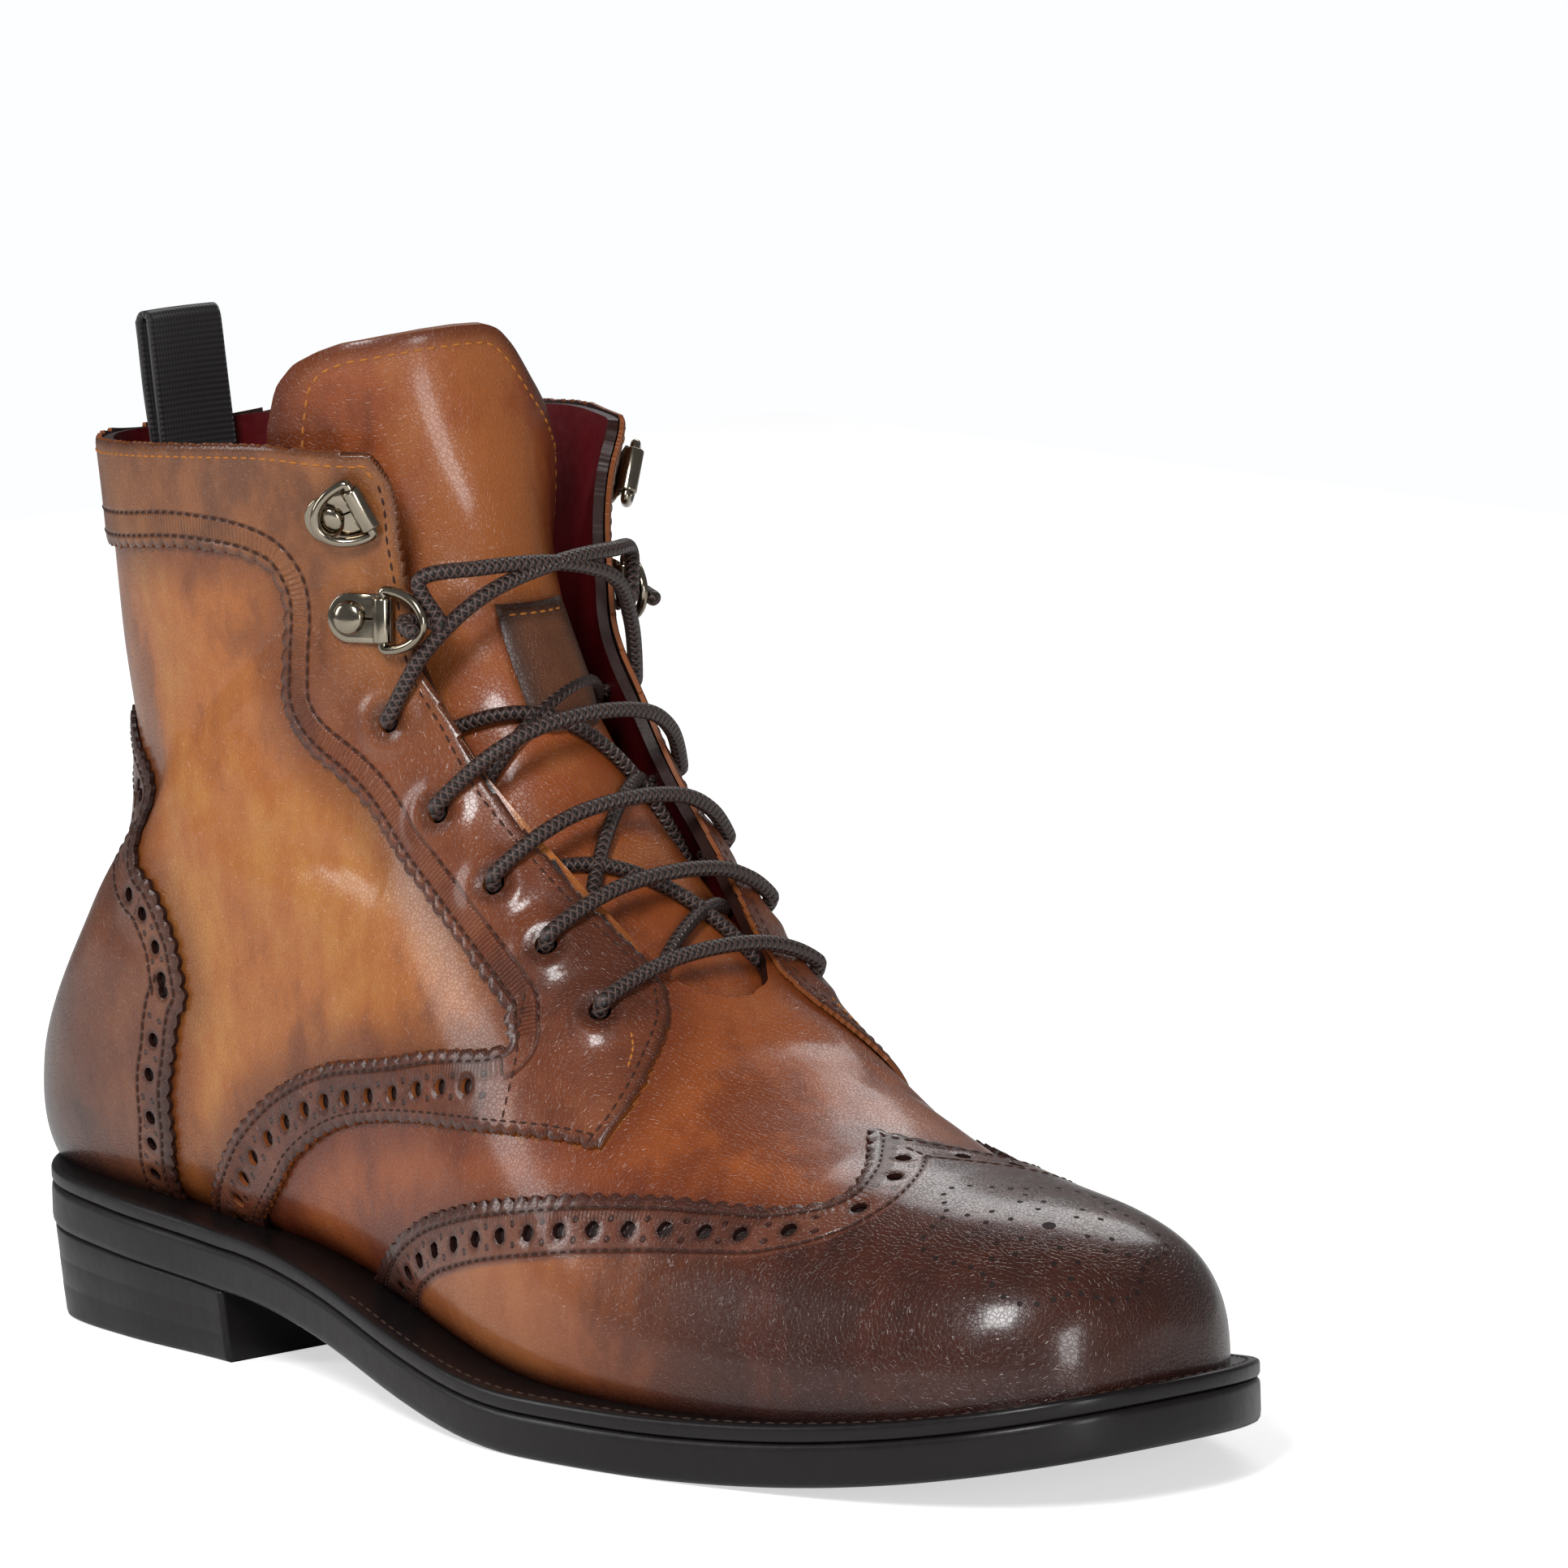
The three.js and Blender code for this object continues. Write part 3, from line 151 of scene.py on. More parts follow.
def form(t, psi, tongue=False):
    """Point of section t at turn psi: superellipse halves on the chord, widest at its share."""
    t, psi = np.broadcast_arrays(np.asarray(t, float), np.asarray(psi, float))
    c = {n: section_column(n, t) for n in SECTION_NAMES}
    bx, fx = c["back_x"] * UPPER_LENGTH, c["front_x"] * UPPER_LENGTH
    bz = welt_top(bx) + c["back_z"] * SHAFT_RISE
    fz = welt_top(fx) + c["front_z"] * INSTEP_RISE
    cx, cz = fx - bx, fz - bz
    if tongue:
        back = TONGUE_SETBACK * smooth((t - TONGUE_SETBACK_START)
                                       / (TONGUE_SETBACK_END - TONGUE_SETBACK_START))
        long = np.hypot(cx, cz)
        cx, cz = cx * (1 - back / long), cz * (1 - back / long)
    low = np.abs(psi) <= np.pi / 2
    power = 2 / np.where(low, c["flat"], TONGUE_ROUND if tongue else c["round"])
    rise = np.abs(np.cos(psi)) ** power
    spread = np.abs(np.sin(psi)) ** power
    along = np.where(low, c["widest"] * (1 - rise), c["widest"] + (1 - c["widest"]) * rise)
    half = np.where(psi < 0, -c["lateral"], c["medial"]) * BALL_WIDTH
    middle = (c["base"] + np.where(low, 0, (c["ridge"] - c["base"]) * rise)) * BALL_WIDTH
    return np.stack([bx + cx * along, middle + half * spread, bz + cz * along], -1)


def unit(v):
    """Vectors divided by their lengths."""
    return v / np.maximum(np.linalg.norm(v, axis=-1, keepdims=True), 1e-9)


def form_normal(t, psi, tongue=False):
    """Outward normal by differences of a small step in section and in turn."""
    step = 0.02
    t, psi = np.broadcast_arrays(np.asarray(t, float), np.asarray(psi, float))
    held = np.clip(t, step, LAST - step)
    around = form(held, psi + step, tongue) - form(held, psi - step, tongue)
    ahead = form(held + step, psi, tongue) - form(held - step, psi, tongue)
    n = unit(np.cross(ahead, around))
    nose = form(0, np.pi, tongue) - form(0, 0, tongue)
    nose = unit(np.array([nose[2], 0, -nose[0]]))
    return unit(np.where((t < step)[..., None], nose, n))


# Map of the form by section t and share u of the way round from the base (0) to the ridge (1),
# negative on the lateral side, so that equal steps in u are equal lengths
MAP_ROWS = np.linspace(0, LAST, 381)
MAP_SHARES = np.linspace(0, 1, 301)


def make_map():
    """Turn psi for each row and share: inverse of the running length round each half section."""
    x = np.linspace(0, 1, 161)
    quarter = x ** 1.6 / (x ** 1.6 + (1 - x) ** 1.6) * np.pi / 2
    turns = np.concatenate([quarter, np.pi / 2 + quarter[1:]])
    maps = []
    for side in (-1, 1):
        p = form(MAP_ROWS[:, None], side * turns[None, :])
        run = np.cumsum(np.linalg.norm(np.diff(p, axis=1), axis=2), axis=1)
        run = np.concatenate([np.zeros((len(MAP_ROWS), 1)), run], 1) / run[:, -1:]
        maps.append(np.stack([np.interp(MAP_SHARES, r, turns) for r in run]))
    return np.stack(maps)


TURN_MAP = make_map()


def turn_of(t, u):
    """Turn psi of a share u at section t, bilinear in the map."""
    t, u = np.broadcast_arrays(np.asarray(t, float), np.asarray(u, float))
    side = (u >= 0).astype(int)
    i = np.clip(t / LAST * (len(MAP_ROWS) - 1), 0, len(MAP_ROWS) - 1.001)
    j = np.clip(np.abs(u) * (len(MAP_SHARES) - 1), 0, len(MAP_SHARES) - 1.001)
    i0, j0 = i.astype(int), j.astype(int)
    fi, fj = i - i0, j - j0
    m = TURN_MAP
    value = ((m[side, i0, j0] * (1 - fj) + m[side, i0, j0 + 1] * fj) * (1 - fi)
             + (m[side, i0 + 1, j0] * (1 - fj) + m[side, i0 + 1, j0 + 1] * fj) * fi)
    return np.where(u < 0, -value, value)


def share_of(t, psi):
    """Share u of a turn psi at section t."""
    t, psi = np.broadcast_arrays(np.asarray(t, float), np.asarray(psi, float))
    rows = np.clip(np.round(t / LAST * (len(MAP_ROWS) - 1)).astype(int), 0, len(MAP_ROWS) - 1)
    out = [np.interp(abs(p), TURN_MAP[int(p >= 0), r], MAP_SHARES) * (1 if p >= 0 else -1)
           for p, r in zip(psi.ravel(), rows.ravel())]
    return np.array(out).reshape(psi.shape)


# Creases and soft wear folds: places (section, turn), depth out of the leather, half width
CREASES = [
    ([(14.9, -0.95), (13.6, -1.30), (12.2, -1.52), (11.2, -1.62)], -0.9, 5.0),
    ([(15.2, -1.15), (13.9, -1.45), (12.6, -1.66), (11.5, -1.76)], 0.7, 6.0),
    ([(12.9, -1.80), (12.0, -1.93), (11.1, -2.00)], -0.8, 4.5),
    ([(12.0, -1.72), (11.0, -1.80), (10.1, -1.88)], 0.7, 6.0),
    ([(10.5, -1.95), (10.0, -2.02), (9.5, -2.06)], -0.7, 3.5),
    ([(14.4, -1.55), (13.8, -1.80), (13.3, -2.00)], -0.5, 5.0),
    ([(6.0, -2.60), (6.1, -2.90), (6.1, 3.05), (6.0, 2.80)], -0.5, 4.0),
    ([(5.5, -2.30), (5.7, -2.60), (5.7, -2.95)], -0.6, 4.0),
    ([(5.2, -1.95), (5.4, -2.15), (5.5, -2.35)], 0.5, 5.0),
    ([(4.6, -2.55), (4.75, -2.85), (4.75, 3.10)], -0.35, 3.5),
    ([(13.8, 1.30), (12.6, 1.55), (11.5, 1.66)], -0.8, 5.0),
    ([(12.4, 1.80), (11.6, 1.92), (10.8, 1.98)], -0.7, 4.5),
    ([(5.5, 2.30), (5.7, 2.60), (5.7, 2.95)], -0.6, 4.0),
]


def open_curve(points, count):
    """Catmull-Rom curve through rows of numbers, evenly in its parameter."""
    p = np.asarray(points, float)
    if len(p) == 2:
        f = np.linspace(0, 1, count)[:, None]
        return p[0] * (1 - f) + p[1] * f
    t = np.linspace(0, len(p) - 1, count)
    return np.stack([table_column(p, k, False, t) for k in range(p.shape[1])], 1)


def nearest(points, line, closed=False):
    """Distance to a line of points and the length run along it at the nearest place."""
    a = line
    b = np.roll(line, -1, axis=0) if closed else line[1:]
    a = a if closed else line[:-1]
    ab = b - a
    long2 = np.maximum((ab ** 2).sum(1), 1e-12)
    start = np.concatenate([[0], np.cumsum(np.sqrt(long2))])[:-1]
    best = np.empty(len(points))
    run = np.empty(len(points))
    for k in range(0, len(points), 3000):
        p = points[k:k + 3000, None, :]
        f = np.clip(((p - a) * ab).sum(2) / long2, 0, 1)
        d2 = ((p - a - f[..., None] * ab) ** 2).sum(2)
        i = d2.argmin(1)
        rows = np.arange(len(i))
        best[k:k + 3000] = np.sqrt(d2[rows, i])
        run[k:k + 3000] = start[i] + f[rows, i] * np.sqrt(long2[i])
    return best, run


def crease_relief(points):
    """Sum of soft troughs and ridges: depth times a bell curve of the distance to each line."""
    out = np.zeros(len(points))
    for places, depth, width in CREASES:
        places = np.array([(t, share_of(t, p)) for t, p in places])
        if places[:, 1].max() > 0.8 and places[:, 1].min() < -0.8:
            places[:, 1] = np.where(places[:, 1] < 0, places[:, 1] + 2, places[:, 1])
        line = open_curve(places, 24)
        share = np.where(line[:, 1] > 1, line[:, 1] - 2, line[:, 1])
        line = form(line[:, 0], turn_of(line[:, 0], share))
        d, run = nearest(points, line)
        total = np.linalg.norm(np.diff(line, axis=0), axis=1).sum()
        ends = np.sqrt(np.clip(4 * run * (total - run), 0, None)) / total
        out += depth * hump(d, width) * (0.15 + 0.85 * ends)
    return out


def skin(t, u, offset):
    """Point of the leather: the form plus its normal times the offset and the creases."""
    psi = turn_of(t, u)
    p = form(t, psi)
    flat = p.reshape(-1, 3)
    lift = crease_relief(flat).reshape(p.shape[:-1]) + offset
    return p + form_normal(t, psi) * lift[..., None]


# Meshes

def new_mesh(name, points, faces, materials, body=BODY):
    """Object at the origin from points in millimetres and faces, with smooth shading."""
    mesh = bpy.data.meshes.new(name)
    mesh.from_pydata([], [], [])
    points = np.asarray(points, float) * MM
    groups = [np.asarray(f, int) for f in (faces if isinstance(faces, list) else [faces])]
    loops = np.concatenate([g.ravel() for g in groups])
    sizes = np.concatenate([np.full(len(g), g.shape[1]) for g in groups])
    mesh.vertices.add(len(points))
    mesh.vertices.foreach_set("co", points.astype(np.float32).ravel())
    mesh.loops.add(len(loops))
    mesh.loops.foreach_set("vertex_index", loops.astype(np.int32))
    mesh.polygons.add(len(sizes))
    starts = np.concatenate([[0], np.cumsum(sizes)[:-1]])
    mesh.polygons.foreach_set("loop_start", starts.astype(np.int32))
    mesh.polygons.foreach_set("use_smooth", np.full(len(sizes), True))
    mesh.update(calc_edges=True)
    mesh.validate()
    for m in materials:
        mesh.materials.append(m)
    piece = bpy.data.objects.new(name, mesh)
    bpy.context.scene.collection.objects.link(piece)
    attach(piece, body)
    return piece


def put_attribute(piece, name, values):
    """Vector attribute on the points, such as length along an edge and distance from it."""
    values = np.asarray(values, np.float32)
    layer = piece.data.attributes.new(name, "FLOAT_VECTOR", "POINT")
    layer.data.foreach_set("vector", values.ravel())


def put_uv(piece, uv):
    """UV map in millimetres over 100, from one pair for each point."""
    layer = piece.data.uv_layers.new(name="lay")
    index = np.empty(len(piece.data.loops), np.int32)
    piece.data.loops.foreach_get("vertex_index", index)
    layer.data.foreach_set("uv", (np.asarray(uv)[index] / 100).astype(np.float32).ravel())


def grid_faces(rows, cols, closed_rows=False, closed_cols=False):
    """Quads of a grid of rows by columns, wrapped in either direction."""
    i = np.arange(rows if closed_rows else rows - 1)[:, None]
    j = np.arange(cols if closed_cols else cols - 1)[None, :]
    i2, j2 = (i + 1) % rows, (j + 1) % cols
    i, j, i2, j2 = np.broadcast_arrays(i, j, i2, j2)
    return np.stack([i * cols + j, i * cols + j2, i2 * cols + j2, i2 * cols + j],
                    -1).reshape(-1, 4)


def split(faces):
    """Two triangles for each four-sided face."""
    return np.concatenate([faces[:, [0, 1, 2]], faces[:, [0, 2, 3]]])


def sheet_grid(name, points, materials, closed_cols=False, uv=None):
    """Surface of two parameters: an array rows by columns by 3."""
    faces = grid_faces(*points.shape[:2], False, closed_cols)
    piece = new_mesh(name, points.reshape(-1, 3), faces, materials)
    if uv is not None:
        put_uv(piece, uv.reshape(-1, 2))
    return piece


def wall(piece, thickness):
    """Real thickness for a sheet, half of it on either side."""
    m = piece.modifiers.new("thickness", "SOLIDIFY")
    m.thickness = thickness * MM
    m.offset = 0.0
    m.use_even_offset = False


def sweep(path, radius, sides=16, closed=False):
    """Tube along a path: circles of the radius in parallel-carried frames."""
    p = np.asarray(path, float)
    n = len(p)
    ahead = np.roll(p, -1, 0) - np.roll(p, 1, 0)
    if not closed:
        ahead[0], ahead[-1] = p[1] - p[0], p[-1] - p[-2]
    ahead = unit(ahead)
    side = np.empty_like(p)
    v = np.cross(ahead[0], [0.0, 0.0, 1.0])
    v = v if np.linalg.norm(v) > 0.1 else np.cross(ahead[0], [1.0, 0.0, 0.0])
    for k in range(n):
        v = v - ahead[k] * (v @ ahead[k])
        v = v / np.linalg.norm(v)
        side[k] = v
    up = np.cross(ahead, side)
    if closed:
        v = side[-1] - ahead[0] * (side[-1] @ ahead[0])
        turn = np.arctan2(v @ up[0], v @ side[0])
        twist = -np.linspace(0, 1, n, endpoint=False) * turn
        c, s = np.cos(twist)[:, None], np.sin(twist)[:, None]
        side, up = side * c + up * s, up * c - side * s
    a = np.arange(sides) / sides * 2 * np.pi
    r = np.broadcast_to(np.asarray(radius, float).reshape(-1, 1, 1), (n, 1, 1))
    return p[:, None] + r * (side[:, None] * np.cos(a)[None, :, None]
                             + up[:, None] * np.sin(a)[None, :, None])


def tube(name, path, radius, materials, sides=16, closed=False, body=BODY):
    """Round tube with domed ends, its UV in length along and round it."""
    path = np.asarray(path, float)
    r = np.broadcast_to(np.asarray(radius, float), (len(path),)).copy()
    if not closed:
        steps = np.array([0.0, 0.35, 0.7, 0.92])
        first = path[0] - unit(path[1] - path[0]) * r[0] * np.sqrt(1 - steps[:, None] ** 2) * 0.8
        last = path[-1] + unit(path[-1] - path[-2]) * r[-1] * np.sqrt(
            1 - steps[::-1, None] ** 2) * 0.8
        path = np.concatenate([first, path, last])
        r = np.concatenate([r[0] * np.maximum(steps, 0.02), r,
                            r[-1] * np.maximum(steps[::-1], 0.02)])
    p = sweep(path, r, sides, closed)
    long = np.concatenate([[0], np.cumsum(np.linalg.norm(np.diff(path, axis=0), axis=1))])
    rows, cols = p.shape[:2]
    faces = [grid_faces(rows, cols, closed, True)]
    if not closed:
        faces += [np.arange(cols)[None, :], (rows - 1) * cols + np.arange(cols)[None, ::-1]]
    faces = [f[:, ::-1] for f in faces]
    piece = new_mesh(name, p.reshape(-1, 3), faces, materials, body)
    round_ = np.arange(sides) / sides * 2 * np.pi * float(np.max(r))
    uv = np.stack(np.broadcast_arrays(long[:, None], round_[None, :]), -1)
    put_uv(piece, uv.reshape(-1, 2))
    put_attribute(piece, "run", np.concatenate([uv, np.zeros_like(uv[..., :1])], -1
                                               ).reshape(-1, 3))
    return piece


def close_ring(places, faces):
    """Joins the places at share 2 to those at share 0, which are the same, and drops the rest."""
    a = np.flatnonzero(np.abs(places[:, 1]) < 1e-6)
    b = np.flatnonzero(np.abs(places[:, 1] - 2) < 1e-6)
    if len(a) and len(b):
        a = a[np.argsort(places[a, 0])]
        near = np.clip(np.searchsorted(places[a, 0], places[b, 0] - 1e-5), 0, len(a) - 1)
        same = np.abs(places[a[near], 0] - places[b, 0]) < 1e-4
        index = np.arange(len(places))
        index[b[same]] = a[near[same]]
        faces = index[faces]
        faces = faces[(faces[:, 0] != faces[:, 1]) & (faces[:, 1] != faces[:, 2])
                      & (faces[:, 2] != faces[:, 0])]
    used, faces = np.unique(faces, return_inverse=True)
    return places[used], faces.reshape(-1, 3)


def walled(name, outer, inner, faces, materials):
    """Closed leather wall: the outer skin, the inner skin turned round, and a rim of four-sided
    faces between them along every free edge. Returns the piece and, for each of its points, the
    row of the skin that it copies."""
    n = len(outer)
    edges = np.concatenate([faces[:, [0, 1]], faces[:, [1, 2]], faces[:, [2, 0]]])
    key = edges.min(1) * n + edges.max(1)
    _, first, count = np.unique(key, return_index=True, return_counts=True)
    free = edges[first[count == 1]]
    border, place = np.unique(free, return_inverse=True)
    place = place.reshape(-1, 2)
    high, low = 2 * n + place, 2 * n + len(border) + place
    rim = np.stack([high[:, 1], high[:, 0], low[:, 0], low[:, 1]], 1)
    points = np.concatenate([outer, inner, outer[border], inner[border]])
    piece = new_mesh(name, points, [faces, faces[:, ::-1] + n, rim], materials)
    kind = np.repeat([0, 1, 2], [len(faces), len(faces), len(rim)])
    piece.data.polygons.foreach_set("material_index", kind.astype(np.int32))
    return piece, np.concatenate([np.arange(n), np.arange(n), border, border])


def cut_mesh(places, faces, field):
    """Keeps the part of a triangle mesh where the field is over 0, cut straight across the
    triangles that it crosses. Returns the places, with new ones by linear shares, and faces."""
    inside = field > 0
    count = inside[faces].sum(1)
    keep = [faces[count == 3]]
    base = len(places)
    index = {}
    for want in (1, 2):
        f = faces[count == want]
        odd = inside[f] if want == 1 else ~inside[f]
        k = odd.argmax(1)
        rows = np.arange(len(f))
        a, b, c = f[rows, k], f[rows, (k + 1) % 3], f[rows, (k + 2) % 3]
        index[want] = (a, b, c)
    pairs = np.concatenate([np.stack([index[w][0], index[w][q]], 1) for w in (1, 2)
                            for q in (1, 2)])
    low, high = pairs.min(1), pairs.max(1)
    key = low * base + high
    _, first, inverse = np.unique(key, return_index=True, return_inverse=True)
    lo, hi = low[first], high[first]
    f = (field[lo] / (field[lo] - field[hi]))[:, None]
    new_places = places[lo] * (1 - f) + places[hi] * f
    n1, n2 = len(index[1][0]), len(index[2][0])
    id_ = base + inverse
    ab1, ac1 = id_[:n1], id_[n1:2 * n1]
    ab2, ac2 = id_[2 * n1:2 * n1 + n2], id_[2 * n1 + n2:]
    keep.append(np.stack([index[1][0], ab1, ac1], 1))
    keep.append(np.stack([ab2, index[2][1], index[2][2]], 1))
    keep.append(np.stack([ab2, index[2][2], ac2], 1))
    faces = np.concatenate(keep)
    places = np.concatenate([places, new_places])
    used, faces = np.unique(faces, return_inverse=True)
    return places[used], faces.reshape(-1, 3)


def inside_outline(points, outline):
    """Even-odd test of flat points in a closed outline."""
    out = np.zeros(len(points), bool)
    x, y = points.T
    a, b = outline, np.roll(outline, -1, 0)
    for (x0, y0), (x1, y1) in zip(a, b):
        if y0 != y1:
            cross = ((y0 > y) != (y1 > y)) & (x < (x1 - x0) * (y - y0) / (y1 - y0) + x0)
            out ^= cross
    return out


# Places of the pattern's lines on the lateral side, as section and turn. The medial side
# mirrors them.
HOLES = [(6.91, 2.580), (7.65, 2.531), (8.42, 2.455), (9.41, 2.385), (10.62, 2.391)]
BAND_LOW = [(16.79, 0.0), (16.76, -0.35), (16.64, -0.756), (16.15, -1.377), (15.63, -1.606),
            (15.07, -1.741), (14.53, -1.828), (13.13, -1.969), (11.96, -2.049),
            (10.64, -2.161), (9.40, -2.164), (8.35, -2.199), (7.62, -2.235)]
STRIP_UP = [(7.45, -2.175), (7.63, -2.086), (8.15, -1.914), (8.66, -1.765), (9.29, -1.635),
            (9.61, -1.572), (9.79, -1.414), (9.86, -1.216), (9.95, -0.789), (9.97, -0.45)]
STRIP_LOW = [(9.78, -0.25), (9.73, -0.423), (9.36, -1.089), (9.22, -1.377), (8.95, -1.564),
             (8.52, -1.627), (7.97, -1.731), (7.29, -1.896), (6.63, -2.089), (6.19, -2.211)]
QUARTER_FRONT = [(6.19, -2.211), (6.17, -2.385), (6.26, -2.584), (6.50, -2.80), (6.76, -2.885)]
FACING = [(6.76, -2.885), (7.10, -2.874), (7.75, -2.782), (8.44, -2.701), (9.29, -2.621),
          (10.41, -2.586), (11.91, -2.587), (13.3, -2.52), (14.39, -2.446), (14.75, -2.405)]
COLLAR = [(14.75, -2.405), (15.05, -2.36), (15.41, -2.260), (16.27, -1.860), (16.79, -1.591),
          (17.18, -1.217), (17.42, -0.7), (17.50, -0.35), (17.52, 0.0)]
SEAM = [(7.52, -2.36), (7.42, -2.29), (7.23, -2.16), (7.10, -1.975)]
TACK = [(6.62, -2.64), (6.50, -2.60), (6.40, -2.52)]
COUNTER = [(15.76, 0.0), (15.70, -0.35), (15.34, -0.722), (14.2, -1.16), (12.77, -1.511),
           (11.83, -1.625), (11.10, -1.658), (10.66, -1.612), (10.58, -1.579),
           (10.46, -1.512), (10.38, -1.398), (10.29, -1.271), (10.22, -1.124),
           (10.15, -0.699), (10.14, -0.40)]
CAP = [(8.72, -0.40), (8.66, -0.617), (8.36, -1.005), (8.09, -1.367), (7.92, -1.509),
       (7.66, -1.590), (7.10, -1.738), (6.30, -1.989), (5.63, -2.203), (5.03, -2.383),
       (4.68, -2.476), (4.38, -2.644), (4.49, -2.858), (4.75, -3.026), (5.02, -3.1416)]
# Middle of the pinholes on the toe, as section and share
MEDALLION = (2.45, -0.91)

# Spacing of the punched holes. The run along a panel's second edge starts at EDGE_STEP, and
# STRIP_RUN tells a quarter's band from its strip by it.
PITCH = 7.9
EDGE_STEP = 127 * PITCH
STRIP_RUN = 500.0

# Distances of stitch rows and punched holes inside the panels' edges
CAP_ROWS, CAP_INWARD = (3.0, 11.0), 7.0
COUNTER_ROWS, COUNTER_INWARD = (3.0, 9.4), 6.2
BAND_ROWS, STRIP_INWARD = (2.7, 7.1), 7.3


def wrap(share):
    """Share brought back between -1 and 1, where 1 and -1 are both the ridge."""
    return np.where(share > 1, share - 2, np.where(share < -1, share + 2, share))


def on_form(line):
    """Points of the form under a line of (section, share) places."""
    return form(line[:, 0], turn_of(line[:, 0], wrap(line[:, 1])))


def form_grid(t0, t1, u0, u1, step):
    """Triangle grid of (section, share) places about a step apart on the form."""
    t = np.linspace(t0, t1, 400)
    u = np.linspace(u0, u1, 9)
    p = form(t[:, None], turn_of(t[:, None], u[None, :]))
    run = np.concatenate([[0], np.cumsum(np.linalg.norm(np.diff(p, axis=0), axis=2).max(1))])
    rows = int(run[-1] / step) + 2
    t = np.interp(np.linspace(0, run[-1], rows), run, t)
    v = np.linspace(u0, u1, 200)
    p = form(t[:, None], turn_of(t[:, None], v[None, :]))
    wide = np.linalg.norm(np.diff(p, axis=1), axis=2).sum(1)
    cols = int(np.percentile(wide, 75) / step) + 2
    u = np.linspace(u0, u1, cols)
    places = np.stack(np.broadcast_arrays(t[:, None], u[None, :]), -1).reshape(-1, 2)
    q = grid_faces(rows, cols)
    odd = (np.arange(len(q)) // (cols - 1) + np.arange(len(q)) % (cols - 1)) % 2 == 1
    tri = np.where(odd[:, None, None], q[:, [[0, 1, 2], [0, 2, 3]]],
                   q[:, [[1, 2, 3], [1, 3, 0]]]).reshape(-1, 3)
    return places, tri


def feather(points, drop):
    """Height above the line where the leather goes down behind the welt."""
    return points[:, 2] - welt_top(points[:, 0]) + drop


def gimp(run, pitch, depth):
    """Pinked edge: round teeth of a pitch, cut in by up to the depth between them."""
    return depth * (1 - np.abs(np.sin(np.pi * run / pitch)) ** 0.8)


def cut_panel(name, outline, edges, grid, materials, holes=(), drop=0.9):
    """Leather panel cut out of the form: the even-odd outline in (section, share) gives the
    side, and each edge (line, pitch, depth, is it a pattern edge) the distance, less its
    teeth. Holes are (place, radius, is it a lace hole). The attribute "edge" holds the run
    along the nearest pattern edge, the distance from it and from the rim; "holes" holds the
    distances from lace holes and from punched ones and the height over the welt."""
    places, faces = grid
    p = form(places[:, 0], turn_of(places[:, 0], wrap(places[:, 1])))
    side = np.where(inside_outline(places, outline), 1.0, -1.0)
    rim = np.full(len(p), 1e9)
    main_d = np.full(len(p), 1e9)
    main_s = np.zeros(len(p))
    for k, (line, pitch, depth, is_main) in enumerate(edges):
        d, s = nearest(p, on_form(line))
        rim = np.minimum(rim, side * d - (gimp(s, pitch, depth) if depth else 0))
        if is_main:
            better = side * d < main_d
            main_s = np.where(better, s + EDGE_STEP * k, main_s)
            main_d = np.where(better, side * d, main_d)
    field = np.where(side < 0, np.minimum(rim, -0.05), rim)
    field = np.minimum(field, feather(p, drop))
    away = np.full((len(p), 2), 30.0)
    for place, radius, laced in holes:
        c = form(place[0], turn_of(place[0], wrap(np.array(place[1]))))
        d = np.linalg.norm(p - c, axis=1) - radius
        field = np.minimum(field, d)
        k = 0 if laced else 1
        away[:, k] = np.minimum(away[:, k], d)
    over_welt = np.clip(feather(p, 0), -5, 60)
    data = np.column_stack([places, main_s, main_d, np.minimum(rim, 30), away, over_welt])
    data, faces = cut_mesh(data, faces, field)
    data, faces = close_ring(data, faces)
    t, u = data[:, 0], wrap(data[:, 1])
    soft = 0.35 * hump(data[:, 4], 0.7) + 0.25 * hump(data[:, 6], 0.5)
    swell = 0.7 * hump(data[:, 5] - 2.6, 2.2)
    psi = turn_of(t, u)
    p, n = form(t, psi), form_normal(t, psi)
    lift = crease_relief(p)
    outer = p + n * (lift + FACE - soft + swell)[:, None]
    inner = p + n * (lift + GAP)[:, None]
    piece, rows = walled(name, outer, inner, faces[:, ::-1], materials)
    put_attribute(piece, "edge", data[rows, 2:5])
    put_attribute(piece, "holes", data[rows, 5:8])
    put_uv(piece, np.column_stack([t * 15, u * 120])[rows])
    return piece


# Materials

def tree_of(name):
    """New material with one principled shader: the material, its tree and the shader."""
    m = bpy.data.materials.new(name)
    m.use_nodes = True
    t = m.node_tree
    t.nodes.clear()
    out = t.nodes.new("ShaderNodeOutputMaterial")
    shader = t.nodes.new("ShaderNodeBsdfPrincipled")
    t.links.new(shader.outputs[0], out.inputs[0])
    return m, t, shader


def node(tree, kind, values=None, **settings):
    """Node with settings, and its inputs set to numbers or linked to sockets."""
    n = tree.nodes.new(kind)
    for k, v in settings.items():
        setattr(n, k, v)
    for k, v in (values or {}).items():
        if isinstance(v, bpy.types.NodeSocket):
            tree.links.new(v, n.inputs[k])
        else:
            n.inputs[k].default_value = v
    return n


def maths(tree, how, a, b=0.0, c=0.0):
    """Output of one sum or function of up to three values."""
    return node(tree, "ShaderNodeMath", {0: a, 1: b, 2: c}, operation=how).outputs[0]


def mix_colour(tree, how, share, a, b):
    """Colour between a and b by a share, in the named way of mixing."""
    n = node(tree, "ShaderNodeMix", {0: share, 6: a, 7: b}, data_type="RGBA", blend_type=how)
    return n.outputs[2]


